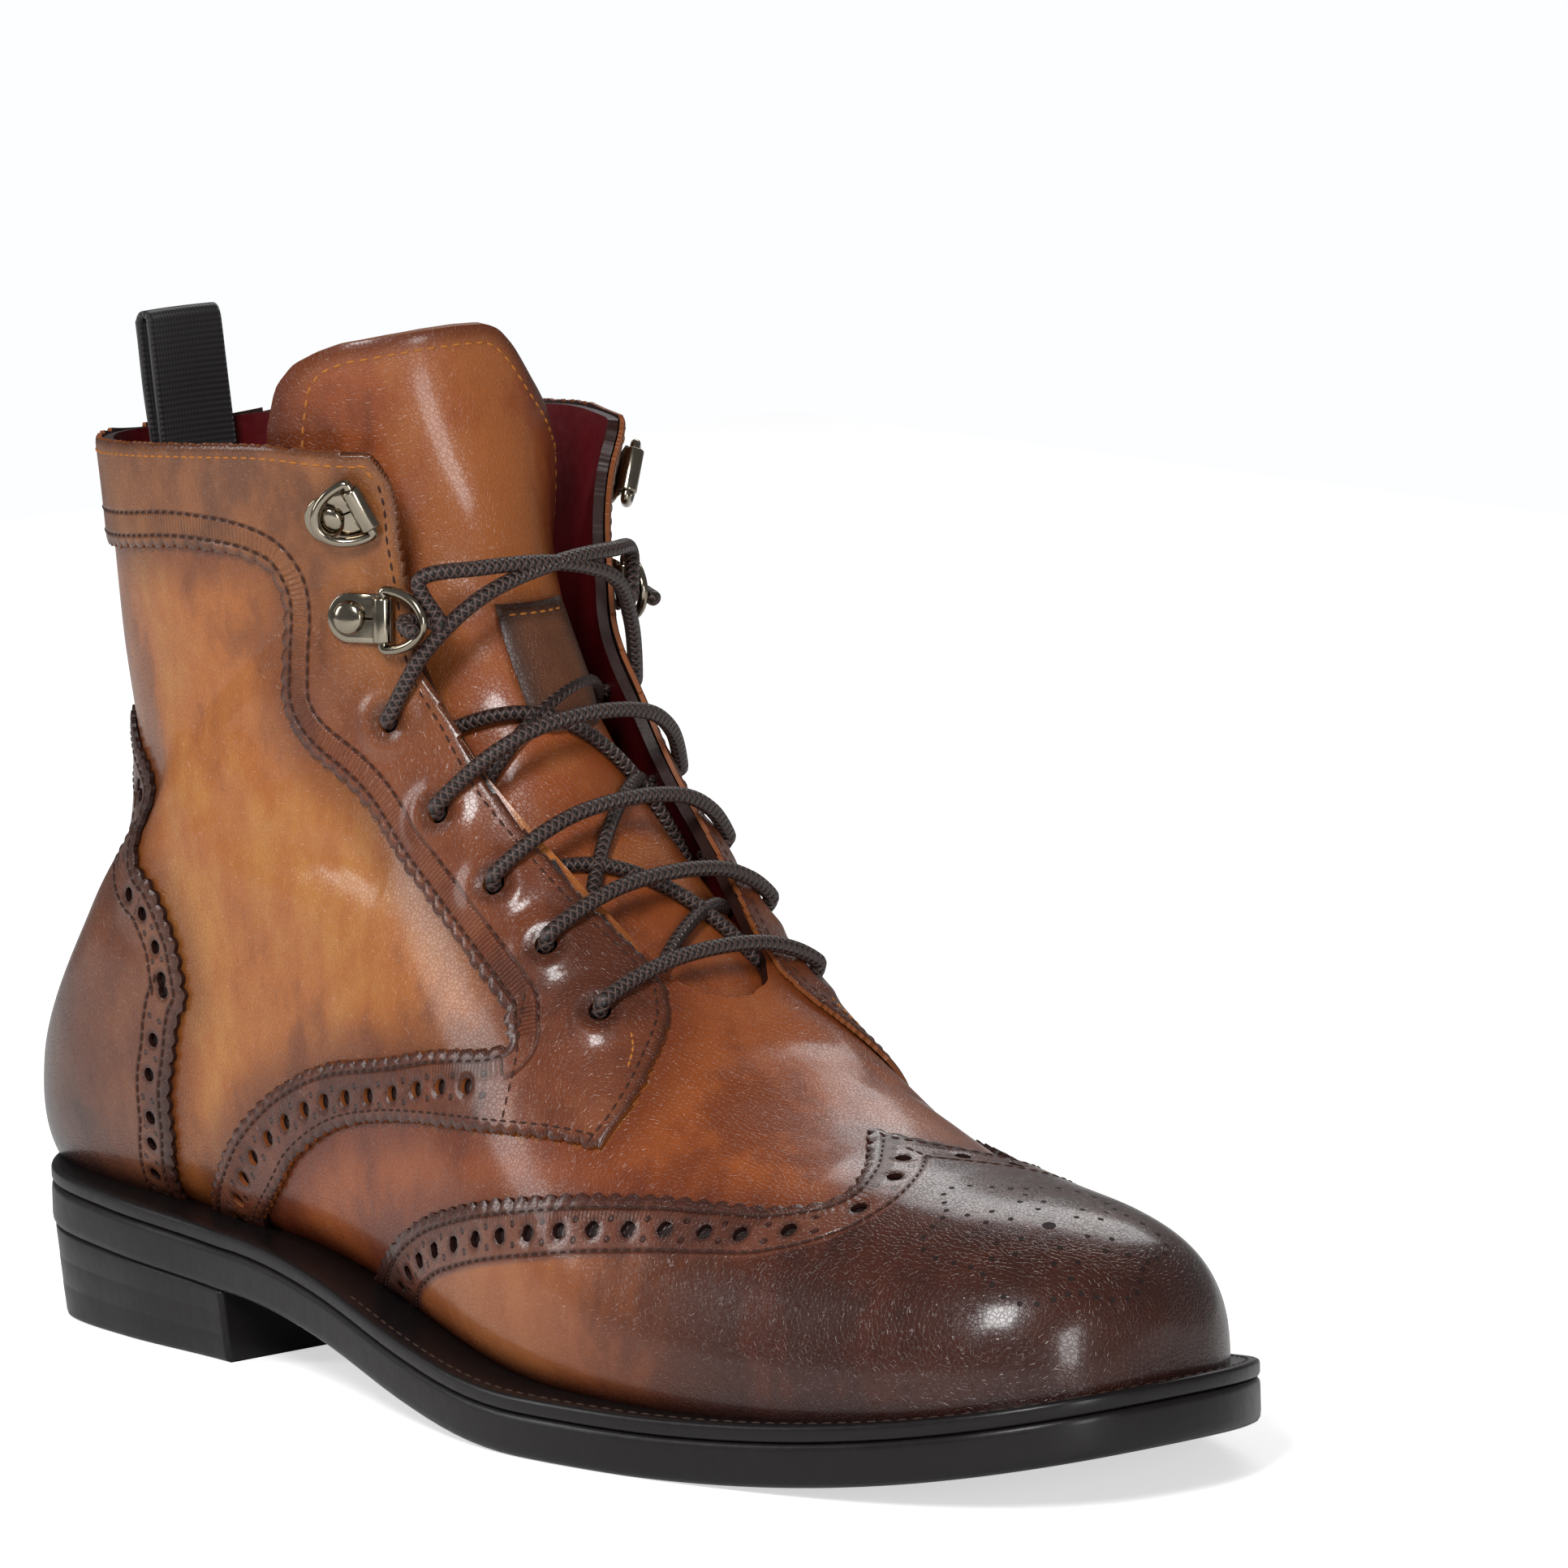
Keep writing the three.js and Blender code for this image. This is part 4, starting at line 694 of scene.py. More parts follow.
def ramp(tree, value, low, high):
    """0 to 1 as the value goes from low to high, smoothly."""
    n = node(tree, "ShaderNodeMapRange", {0: value, 1: low, 2: high},
             interpolation_type="SMOOTHSTEP")
    return n.outputs[0]


def group(name, inputs, outputs):
    """New node group with its sockets: the group, its inputs and its outputs."""
    g = bpy.data.node_groups.new(name, "ShaderNodeTree")
    for n, kind, value in inputs:
        s = g.interface.new_socket(n, in_out="INPUT", socket_type=kind)
        if value is not None:
            s.default_value = value
    for n, kind in outputs:
        g.interface.new_socket(n, in_out="OUTPUT", socket_type=kind)
    return g, g.nodes.new("NodeGroupInput").outputs, g.nodes.new("NodeGroupOutput").inputs


FLOAT, COLOUR = "NodeSocketFloat", "NodeSocketColor"


def rgb(r, g, b):
    """Colour from 0 to 255 display values."""
    c = np.array([r, g, b]) / 255
    return (*np.where(c <= 0.04045, c / 12.92, ((c + 0.055) / 1.055) ** 2.4), 1.0)


def make_patina():
    """Hand-rubbed dye: streaked noise moves the colour between deep, base and worn tones, and a
    share of burnish and painted shade takes it to the deep tone.
    """
    g, i, o = group("hand patina", [("Base", COLOUR, None), ("Deep", COLOUR, None),
                                    ("Worn", COLOUR, None), ("Burnish and painted shade", FLOAT, 0.0),
                                    ("Scale", FLOAT, 1.0)],
                    [("Colour", COLOUR), ("Streak", FLOAT)])
    at = node(g, "ShaderNodeTexCoord").outputs["Object"]
    at = node(g, "ShaderNodeMapping", {"Vector": at, "Rotation": (0.2, 0.5, 0.3),
                                       "Scale": (1.0, 0.8, 0.55)}).outputs[0]
    big = node(g, "ShaderNodeTexNoise", {"Vector": at, "Scale": 28.0, "Detail": 3.0,
                                         "Roughness": 0.5, "Distortion": 0.6})
    fine = node(g, "ShaderNodeTexNoise", {"Vector": at, "Scale": 150.0, "Detail": 4.0,
                                          "Roughness": 0.6})
    streak = maths(g, "MULTIPLY_ADD", fine.outputs[0], 0.35,
                   maths(g, "MULTIPLY", big.outputs[0], 0.65))
    deep = ramp(g, streak, 0.52, 0.40)
    worn = ramp(g, streak, 0.50, 0.64)
    col = mix_colour(g, "MIX", maths(g, "MULTIPLY", deep, 0.55), i["Base"], i["Deep"])
    col = mix_colour(g, "MIX", maths(g, "MULTIPLY", worn, 0.55), col, i["Worn"])
    col = mix_colour(g, "MIX", i["Burnish and painted shade"], col, i["Deep"])
    g.links.new(col, o["Colour"])
    g.links.new(streak, o["Streak"])
    return g


def make_grain():
    """Leather grain: small cells and fine pores, as a height."""
    g, i, o = group("leather grain", [("Amount", FLOAT, 1.0)], [("Height", FLOAT)])
    at = node(g, "ShaderNodeTexCoord").outputs["Object"]
    cells = node(g, "ShaderNodeTexVoronoi", {"Vector": at, "Scale": 1150.0},
                 feature="DISTANCE_TO_EDGE").outputs["Distance"]
    pores = node(g, "ShaderNodeTexNoise", {"Vector": at, "Scale": 420.0, "Detail": 4.0,
                                           "Roughness": 0.65}).outputs[0]
    soft = node(g, "ShaderNodeTexNoise", {"Vector": at, "Scale": 60.0, "Detail": 2.0}).outputs[0]
    h = maths(g, "MULTIPLY_ADD", ramp(g, cells, 0.0, 0.12), 0.35,
              maths(g, "MULTIPLY_ADD", pores, 0.8, maths(g, "MULTIPLY", soft, 3.0)))
    g.links.new(maths(g, "MULTIPLY", h, i["Amount"]), o["Height"])
    return g


PATINA, GRAIN = make_patina(), make_grain()


def mixed(t, look, other, share):
    """The three tones of one leather going over to another's by a share."""
    return {k: mix_colour(t, "MIX", share, look[k], other[k]) for k in look}


def patina_of(t, tones, dark):
    """Patina over three tones, darkened by a share of burnish and painted shade: its colour and
    its streaks.
    """
    pat = node(t, "ShaderNodeGroup")
    pat.node_tree = PATINA
    for k, v in (("Base", "base"), ("Deep", "deep"), ("Worn", "worn")):
        if isinstance(tones[v], tuple):
            pat.inputs[k].default_value = tones[v]
        else:
            t.links.new(tones[v], pat.inputs[k])
    t.links.new(dark, pat.inputs["Burnish and painted shade"])
    return pat.outputs


def grain_of(t):
    """Height of the leather grain."""
    gr = node(t, "ShaderNodeGroup")
    gr.node_tree = GRAIN
    return gr.outputs["Height"]


def polish(t, s, colour, streak, height, rough=0.30, coat=0.28):
    """Polished leather from a colour and a height, smoother where the streak is strong."""
    t.links.new(colour, s.inputs["Base Color"])
    r = maths(t, "MULTIPLY_ADD", streak, -0.24, rough + 0.12)
    t.links.new(r, s.inputs["Roughness"])
    b = node(t, "ShaderNodeBump", {"Height": height, "Strength": 1.0, "Distance": 0.00014})
    t.links.new(b.outputs[0], s.inputs["Normal"])
    s.inputs["Coat Weight"].default_value = coat
    s.inputs["Coat Roughness"].default_value = 0.14
    s.inputs["Specular IOR Level"].default_value = 0.36


def leather(name, look, other=None, where=None, band=None, rough=0.30, coat=0.28,
            pattern=None, edge_width=5.0, extra=None):
    """Finished leather: patina, grain, burnished edges, painted shade in a ring round the lace
    holes and the pattern of its edge. It goes over to another look where asked, and to a band's
    look within a distance of its edge."""
    m, t, s = tree_of(name)
    edge = node(t, "ShaderNodeAttribute", attribute_name="edge").outputs["Vector"]
    e = node(t, "ShaderNodeSeparateXYZ", {0: edge}).outputs
    holes = node(t, "ShaderNodeAttribute", attribute_name="holes").outputs["Vector"]
    h = node(t, "ShaderNodeSeparateXYZ", {0: holes}).outputs
    run, inward, rim = e[0], e[1], e[2]
    tones = dict(look)
    if other:
        tones = mixed(t, tones, other, where(t))
    if band:
        tones = mixed(t, tones, band[0], ramp(t, inward, band[1] + 0.8, band[1] - 0.4))
    dark = maths(t, "MULTIPLY", ramp(t, rim, edge_width, 0.0), 0.8)
    if pattern is not None:
        dark = maths(t, "MAXIMUM", dark, maths(t, "MULTIPLY", ramp(t, h[2], 7.0, 0.5), 0.85))
        dark = maths(t, "MAXIMUM", dark, maths(t, "MULTIPLY", ramp(t, h[1], 1.3, 0.0), 0.7))
        # Painted shade: a dark ring round each lace hole, where the leather bulges
        dark = maths(t, "MAXIMUM", dark, maths(t, "MULTIPLY", ramp(t, h[0], 3.2, 0.6), 0.55))
    if extra is not None:
        dark = maths(t, "MAXIMUM", dark, extra(t))
    pat = patina_of(t, tones, dark)
    colour, height = pat["Colour"], grain_of(t)
    if pattern is not None:
        colour, height = pattern(t, run, inward, colour, height)
    polish(t, s, colour, pat["Streak"], height, rough, coat)
    return m


def along(axis, low, high, weight=1.0):
    """Share that grows along an object axis from one place, in millimetres, to another."""
    def build(t):
        at = node(t, "ShaderNodeTexCoord").outputs["Object"]
        x = node(t, "ShaderNodeSeparateXYZ", {0: at}).outputs[axis]
        return maths(t, "MULTIPLY", ramp(t, x, low * MM, high * MM), weight)
    return build


def stitch_groove(t, inward, distance, colour, height, share=None):
    """Groove under a stitch row at a distance from the edge: pressed in and darker."""
    groove = ramp(t, maths(t, "ABSOLUTE", maths(t, "SUBTRACT", inward, distance)), 0.75, 0.0)
    if share is not None:
        groove = maths(t, "MULTIPLY", groove, share)
    height = maths(t, "MULTIPLY_ADD", groove, -2.6, height)
    colour = mix_colour(t, "MULTIPLY", maths(t, "MULTIPLY", groove, 0.55), colour,
                        rgb(120, 80, 60))
    return colour, height


def pin_pair(t, at, inward, places, colour, height, share=None):
    """Two pinholes, pressed in and dark with painted shade, by the distance sqrt(at^2 + dy^2)
    from each: places holds the middle of the pair, the way from it to each, the hole's
    radius and that of its dark core."""
    centre, apart, size, core = places
    for sign in (-1, 1):
        dy = maths(t, "SUBTRACT", inward, centre + sign * apart)
        dist = maths(t, "SQRT", maths(t, "ADD", maths(t, "MULTIPLY", at, at),
                                      maths(t, "MULTIPLY", dy, dy)))
        spot = ramp(t, dist, size, core)
        if share is not None:
            spot = maths(t, "MULTIPLY", spot, share)
        # Painted shade: the dark core of each pinhole
        colour = mix_colour(t, "MIX", maths(t, "MULTIPLY", spot, 0.85), colour,
                            rgb(48, 20, 12))
        height = maths(t, "MULTIPLY_ADD", spot, -4.0, height)
    return colour, height


def brogue_pattern(rows, ridges=None, dots=None):
    """Stitch grooves at distances from the edge, raised cross ridges between two of them and
    pairs of pinholes halfway between the big holes."""
    def build(t, run, inward, colour, height):
        for d in rows:
            colour, height = stitch_groove(t, inward, d, colour, height)
        if ridges:
            start, end = ridges
            zone = maths(t, "MULTIPLY", ramp(t, inward, start - 0.2, start + 0.4),
                         ramp(t, inward, end + 0.2, end - 0.6))
            wave = maths(t, "SINE", maths(t, "MULTIPLY", run, 2 * np.pi / 0.85))
            height = maths(t, "MULTIPLY_ADD", maths(t, "MULTIPLY", zone, wave), 0.9, height)
        if dots:
            at = maths(t, "SUBTRACT", maths(t, "MODULO", maths(t, "ADD", run, PITCH * 40),
                                            PITCH), PITCH / 2)
            colour, height = pin_pair(t, at, inward, (*dots, dots[2] * 0.55), colour, height)
        return colour, height
    return build


def look(base, deep, worn):
    """The three tones of one leather, in display values."""
    return dict(base=rgb(*base), deep=rgb(*deep), worn=rgb(*worn))


TAN = look((164, 95, 40), (94, 43, 18), (185, 128, 65))
BAND_TAN = look((131, 77, 38), (70, 34, 18), (164, 106, 58))
FACING_BROWN = look((104, 52, 29), (52, 22, 13), (135, 77, 47))
VAMP = look((146, 74, 32), (88, 34, 16), (166, 95, 47))
TONGUE_BROWN = look((137, 68, 31), (79, 32, 14), (160, 97, 50))
KEEPER_BROWN = look((86, 49, 29), (43, 22, 14), (112, 70, 43))
CAP_TAN = look((144, 79, 40), (86, 36, 18), (164, 101, 56))
CAP_DARK = look((70, 32, 20), (36, 18, 16), (101, 52, 31))
CAP_BAND = look((101, 56, 40), (50, 23, 18), (124, 77, 56))
COUNTER_BROWN = look((101, 54, 32), (47, 22, 16), (128, 76, 45))
COUNTER_DARK = look((36, 25, 25), (22, 16, 18), (59, 40, 34))

cap_leather = leather("toe cap leather", CAP_TAN, CAP_DARK, along(0, 135, 205),
                      (CAP_BAND, 12.0), rough=0.26, extra=along(0, 205, 266, 0.7),
                      pattern=brogue_pattern(CAP_ROWS, ridges=(3.3, 5.6),
                                             dots=(CAP_INWARD, 1.9, 0.75)))
counter_leather = leather("counter leather", COUNTER_BROWN, COUNTER_DARK, along(0, 8, -32),
                          pattern=brogue_pattern(COUNTER_ROWS,
                                                 dots=(COUNTER_INWARD, 1.5, 0.7)))
tongue_leather = leather("tongue leather", TONGUE_BROWN, rough=0.32)
keeper_leather = leather("keeper leather", KEEPER_BROWN, rough=0.42, coat=0.15)


def plain(name, colour, rough=0.5, metal=0.0, coat=0.0, bump=0.0, scale=400.0, vary=0.25):
    """Simple finish whose colour, roughness and height vary with fine noise."""
    m, t, s = tree_of(name)
    at = node(t, "ShaderNodeTexCoord").outputs["Object"]
    n = node(t, "ShaderNodeTexNoise", {"Vector": at, "Scale": scale, "Detail": 4.0})
    low = tuple(c * (1 - vary) for c in colour[:3]) + (1.0,)
    high = tuple(min(c * (1 + vary), 1) for c in colour[:3]) + (1.0,)
    t.links.new(mix_colour(t, "MIX", n.outputs[0], low, high), s.inputs["Base Color"])
    t.links.new(maths(t, "MULTIPLY_ADD", n.outputs[0], 0.16, rough - 0.08),
                s.inputs["Roughness"])
    s.inputs["Metallic"].default_value = metal
    s.inputs["Specular IOR Level"].default_value = 0.5 if metal else 0.3
    s.inputs["Coat Weight"].default_value = coat
    s.inputs["Coat Roughness"].default_value = 0.2
    if bump:
        b = node(t, "ShaderNodeBump", {"Height": n.outputs[0], "Distance": bump})
        t.links.new(b.outputs[0], s.inputs["Normal"])
    return m


lining_leather = plain("lining leather", rgb(86, 14, 20), 0.3, coat=0.3, bump=0.0001)
cut_edge = plain("painted cut edge", rgb(40, 18, 14), 0.42, bump=0.0001)
tan_edge = plain("tan cut edge", rgb(128, 70, 34), 0.5, bump=0.0001)
sole_black = plain("sole edge", rgb(18, 14, 15), 0.38, coat=0.08, bump=0.00012, scale=260)
nickel = plain("antique nickel", rgb(150, 140, 124), 0.16, metal=1.0, bump=0.00001, vary=0.16)
insole_tan = plain("insole leather", rgb(104, 50, 34), 0.6, bump=0.0001)
thread_dark = plain("dark thread", rgb(52, 26, 16), 0.6, bump=0.00006, scale=2500)
thread_gold = plain("golden thread", rgb(170, 104, 40), 0.6, bump=0.00006, scale=2500)
# Pinholes: near black, painted as the shade inside the holes
pinhole_shade = plain("pinhole", rgb(28, 14, 10), 0.7, bump=0.00004, scale=1500)


def make_lace_finish():
    """Waxed round lace: crossing diagonal strands from the run along and round the tube."""
    m, t, s = tree_of("waxed lace")
    at = node(t, "ShaderNodeAttribute", attribute_name="run").outputs["Vector"]
    e = node(t, "ShaderNodeSeparateXYZ", {0: at}).outputs
    one = maths(t, "SINE", maths(t, "MULTIPLY_ADD", e[0], 2 * np.pi / 1.5,
                                 maths(t, "MULTIPLY", e[1], 4 / LACE_RADIUS)))
    two = maths(t, "SINE", maths(t, "MULTIPLY_ADD", e[0], 2 * np.pi / 1.5,
                                 maths(t, "MULTIPLY", e[1], -4 / LACE_RADIUS)))
    h = maths(t, "MAXIMUM", one, two)
    col = mix_colour(t, "MIX", ramp(t, h, -0.2, 1.0), rgb(22, 14, 14), rgb(70, 50, 44))
    t.links.new(col, s.inputs["Base Color"])
    b = node(t, "ShaderNodeBump", {"Height": h, "Distance": 0.00022})
    t.links.new(b.outputs[0], s.inputs["Normal"])
    s.inputs["Roughness"].default_value = 0.46
    s.inputs["Coat Weight"].default_value = 0.12
    s.inputs["Coat Roughness"].default_value = 0.35
    return m


lace_wax = make_lace_finish()


def make_webbing():
    """Ribbed webbing: cross ribs from the run along the strip."""
    m, t, s = tree_of("ribbed webbing")
    at = node(t, "ShaderNodeAttribute", attribute_name="run").outputs["Vector"]
    e = node(t, "ShaderNodeSeparateXYZ", {0: at}).outputs
    rib = maths(t, "SINE", maths(t, "MULTIPLY", e[0], 2 * np.pi / 1.1))
    weave = maths(t, "SINE", maths(t, "MULTIPLY", e[1], 2 * np.pi / 0.8))
    h = maths(t, "MULTIPLY_ADD", weave, 0.25, rib)
    t.links.new(mix_colour(t, "MIX", ramp(t, h, -1.0, 1.0), rgb(10, 7, 9), rgb(26, 20, 23)),
                s.inputs["Base Color"])
    b = node(t, "ShaderNodeBump", {"Height": h, "Distance": 0.00010})
    t.links.new(b.outputs[0], s.inputs["Normal"])
    s.inputs["Roughness"].default_value = 0.7
    s.inputs["Sheen Weight"].default_value = 0.2
    return m


webbing = make_webbing()


# Stitches: short capsules laid along lines on the leather

def stitch_row(name, places, normals, material, pitch=2.5, length=1.75, radius=0.28, sink=0.05):
    """Capsules of a length every pitch along a line of points, each a small ellipsoid tube."""
    run = np.concatenate([[0], np.cumsum(np.linalg.norm(np.diff(places, axis=0), axis=1))])
    mid = np.arange(pitch / 2, run[-1] - pitch / 4, pitch)

    def read(v, at):
        return np.stack([np.interp(at, run, v[:, k]) for k in range(3)], 1)

    c, n = read(places, mid), unit(read(normals, mid))
    ahead = unit(read(places, mid + 0.4) - read(places, mid - 0.4))
    side = unit(np.cross(n, ahead))
    rows, sides = 5, 6
    f = np.linspace(-1, 1, rows)
    size = np.array([0.3, 0.9, 1.0, 0.9, 0.3])
    a = np.arange(sides) / sides * 2 * np.pi
    x = f[:, None] * length / 2 + 0 * a
    y = size[:, None] * radius * np.cos(a)
    z = size[:, None] * radius * np.sin(a) - sink
    p = (c[:, None, None] + ahead[:, None, None] * x[None, ..., None]
         + side[:, None, None] * y[None, ..., None] + n[:, None, None] * z[None, ..., None])
    count = len(c)
    one = grid_faces(rows, sides, False, True)
    faces = (one[None] + np.arange(count)[:, None, None] * rows * sides).reshape(-1, 4)
    base = np.arange(count)[:, None] * rows * sides
    caps = np.concatenate([base + np.arange(sides)[None, ::-1],
                           base + (rows - 1) * sides + np.arange(sides)[None, :]])
    return new_mesh(name, p.reshape(-1, 3), [faces, caps], [material])


def settle(q, t, u, steps=4):
    """Section and share of the form's place nearest to a point: Gauss-Newton from a start."""
    h = 0.004
    for _ in range(steps):
        p = form(t, turn_of(t, wrap(u)))
        t2 = np.clip(t + h, 0, LAST)
        dt = (form(t2, turn_of(t2, wrap(u))) - p) / h
        du = (form(t, turn_of(t, wrap(u + h))) - p) / h
        r = q - p
        a, b, c = (dt * dt).sum(1), (dt * du).sum(1), (du * du).sum(1)
        x, y = (dt * r).sum(1), (du * r).sum(1)
        det = np.maximum(a * c - b * b, 1e-6)
        t = np.clip(t + np.clip((c * x - b * y) / det, -0.4, 0.4), 0, LAST)
        u = u + np.clip((a * y - b * x) / det, -0.05, 0.05)
    return t, u


def inward_line(line, distance, outline):
    """Line of places at a distance inside an outline, walked over the form in short steps."""
    t, u = line[:, 0].copy(), line[:, 1].copy()
    p = form(t, turn_of(t, wrap(u)))
    ahead = unit(np.gradient(p, axis=0))
    n = form_normal(t, turn_of(t, wrap(u)))
    across = unit(np.cross(n, ahead))
    k = len(line) // 2
    trial = p + across * 2.0
    tt, uu = settle(trial, t, u)
    if not inside_outline(np.array([[tt[k], uu[k]]]), outline)[0]:
        across = -across
    count = max(1, int(distance / 2.5) + 1)
    for _ in range(count):
        p = form(t, turn_of(t, wrap(u)))
        n = form_normal(t, turn_of(t, wrap(u)))
        across = unit(across - n * (across * n).sum(1, keepdims=True))
        t, u = settle(p + across * distance / count, t, u)
    return np.column_stack([t, u])


def along_line(line, at):
    """Places at lengths run along a line of places."""
    p = on_form(line)
    run = np.concatenate([[0], np.cumsum(np.linalg.norm(np.diff(p, axis=0), axis=1))])
    return np.column_stack([np.interp(at, run, line[:, k]) for k in range(2)]), run[-1]


def sewn(name, line, material, offset=FACE, start=0.0, end=0.0, pitch=2.5, **size):
    """Stitch row on the leather along a line of places, only where it is above the welt."""
    total = along_line(line, np.array([0.0]))[1]
    at = np.arange(start, total - end, 0.5)
    places = along_line(line, at)[0]
    p = skin(places[:, 0], wrap(places[:, 1]), offset)
    keep = feather(p, 0.0) > 0.6
    if keep.sum() < 6:
        return None
    first, last = np.argmax(keep), len(keep) - np.argmax(keep[::-1])
    places, p = places[first:last], p[first:last]
    n = form_normal(places[:, 0], turn_of(places[:, 0], wrap(places[:, 1])))
    return stitch_row(name, p, n, material, pitch, **size)


def merge_seams(piece):
    """Joins the points that lie on each other, where a grid meets itself."""
    b = bmesh.new()
    b.from_mesh(piece.data)
    bmesh.ops.remove_doubles(b, verts=b.verts, dist=0.00001)
    b.to_mesh(piece.data)
    b.free()


# Upper: one hollow leather shell with the collar, the throat and the lace holes cut out

def chart(places, side, shift=0.0):
    """Smooth line of (section, share) places on one side, through places given by turns."""
    line = np.array([(t, share_of(t, side * abs(psi))) for t, psi in places])
    line = open_curve(line, 12 * len(places))
    line[:, 1] += shift
    return line


def make_upper():
    """Shell over the whole form; its field is the least of the heights under the collar line
    and over the welt, the width past the throat and the lengths past the holes. Its attribute
    holds the vamp's share, the height over the welt and the distance inside the overlays."""
    places, faces = form_grid(0, 18.4, 0, 2, 1.45)
    t, u = places[:, 0], wrap(places[:, 1])
    psi = turn_of(t, u)
    p = form(t, psi)
    lateral = np.column_stack([t, -np.abs(u)])
    mirrored = form(lateral[:, 0], turn_of(lateral[:, 0], lateral[:, 1]))
    field = feather(p, 1.6)
    collar, facing = chart(COLLAR, -1), chart(FACING, -1)
    top = np.concatenate([facing[facing[:, 0] > 12.0], collar])
    under = inside_outline(lateral, np.concatenate([top, [[17.52, 0.1], [12.0, 0.1]]]))
    d = nearest(mirrored, on_form(top))[0]
    field = np.where(t > 12.6, np.minimum(field, np.where(under, d, -d) - 0.9), field)
    half = np.interp(t, THROAT[:, 0], THROAT[:, 1] * BALL_WIDTH)
    ridge = form(t, np.pi)[:, 1]
    throat = np.where((np.abs(psi) > 2.0) & (t > 6.4), np.abs(p[:, 1] - ridge) - half - 0.6, 1e9)
    throat = np.where(t > 6.55, throat, np.maximum(throat, (6.55 - t) * 20))
    field = np.minimum(field, throat)
    for s in (-1, 1):
        for section, turn in HOLES:
            c = form(section, s * turn)
            field = np.minimum(field, np.linalg.norm(p - c, axis=1) - HOLE_SIZES[s])
    low, front, cap, counter = (chart(k, -1) for k in (STRIP_LOW, QUARTER_FRONT, CAP, COUNTER))
    toe = [[-1, -1.05], [-1, 0.1], [9.9, 0.1]]
    vamp = inside_outline(lateral, np.concatenate([low, front, [[9.0, -0.93], [9.0, -1.05]],
                                                   toe]))
    band, strip = chart(BAND_LOW, -1), chart(STRIP_UP, -1)
    cover = np.full(len(p), -30.0)
    for outline, edge in (
            (np.concatenate([cap, [[5.02, -1.05]], toe[:2], [[9.2, 0.1]]]), cap),
            (np.concatenate([counter, [[9.5, -0.4], [9.5, 0.1], [15.76, 0.1]]]), counter),
            (np.concatenate([band, strip, low, front, facing, collar]),
             np.concatenate([band, strip, low, front]))):
        d = nearest(mirrored, on_form(edge))[0]
        cover = np.maximum(cover, np.where(inside_outline(lateral, outline), d, -d))
    data = np.column_stack([places, vamp * 1.0, np.clip(feather(p, 0), -5, 60), cover])
    data, faces = cut_mesh(data, faces, field)
    data, faces = close_ring(data, faces)
    psi = turn_of(data[:, 0], wrap(data[:, 1]))
    p, n = form(data[:, 0], psi), form_normal(data[:, 0], psi)
    lift = crease_relief(p)[:, None]
    piece, rows = walled("upper_leather", p + n * lift, p + n * (lift - WALL), faces[:, ::-1],
                         [upper_leather, lining_leather, cut_edge])
    put_attribute(piece, "edge", data[rows, 2:5])
    put_uv(piece, np.column_stack([data[:, 0] * 15, data[:, 1] * 120])[rows])
    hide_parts("upper")


def make_upper_finish():
    """Vamp and quarter leather in one: the vamp's deeper orange by the first number of the
    edge attribute, the burnish by the height over the welt and the nearness of an overlay,
    and painted shade: a near-black skin under the overlays, seen through their punched holes."""
    m, t, s = tree_of("upper leather")
    edge = node(t, "ShaderNodeAttribute", attribute_name="edge").outputs["Vector"]
    e = node(t, "ShaderNodeSeparateXYZ", {0: edge}).outputs
    dark = maths(t, "MULTIPLY", ramp(t, e[1], 9.0, 0.5), 0.85)
    dark = maths(t, "MAXIMUM", dark, maths(t, "MULTIPLY", ramp(t, e[2], -11.0, 0.0), 0.62))
    tones = mixed(t, TAN, VAMP, ramp(t, e[0], 0.2, 0.6))
    pat = patina_of(t, tones, dark)
    # Painted shade: under the overlays the skin is near black, as the shadow seen in their
    # punched holes and between their teeth
    colour = mix_colour(t, "MIX", ramp(t, e[2], 2.2, 3.4), pat["Colour"], rgb(46, 34, 32))
    polish(t, s, colour, pat["Streak"], grain_of(t))
    return m


upper_leather = make_upper_finish()
make_upper()


# Overlays: toe cap, counter and quarters

def brogue_holes(line, outline, inward, radius):
    """Big holes, one every pitch along a line at a distance inside its edge."""
    total = along_line(line, np.array([0.0]))[1]
    at = np.arange(PITCH, total, PITCH)
    inner = inward_line(line, inward, outline)
    p = on_form(line)
    run = np.concatenate([[0], np.cumsum(np.linalg.norm(np.diff(p, axis=0), axis=1))])
    places = np.column_stack([np.interp(at, run, inner[:, k]) for k in range(2)])
    return [((a, b), radius, False) for a, b in places]


def make_toe_cap():
    """Cap over the toe with a peak at the ridge, where its rows and holes stop short."""
    lateral, medial = chart(CAP, -1, 2.0), chart(CAP, 1)[::-1]
    line = np.concatenate([lateral, medial[1:]])
    outline = np.concatenate([line, [[9.2, 0.0], [9.2, -0.1], [-1, -0.1], [-1, 2.1],
                                     [9.2, 2.1], [9.2, 2.0]]])
    holes = brogue_holes(line, outline, CAP_INWARD, 1.6)
    holes = [h for k, h in enumerate(holes)
             if (h[0][1] - 1.0) * (1 if k < len(holes) / 2 else -1) > 0.024]
    piece = cut_panel("toe_cap_leather", outline, [(line, 3.6, 1.3, True)],
                      form_grid(0, 9.0, 0, 2, 0.85), [cap_leather, cut_edge, cut_edge], holes)
    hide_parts("toe_cap")
    for k, d in enumerate(CAP_ROWS):
        row = inward_line(line, d, outline)
        first = np.arange(len(row)) < len(lateral)
        row = row[np.where(first, row[:, 1] > 1, row[:, 1] < 1)]
        sewn(f"cap_stitches_{k}", row, thread_dark)
    medallion()


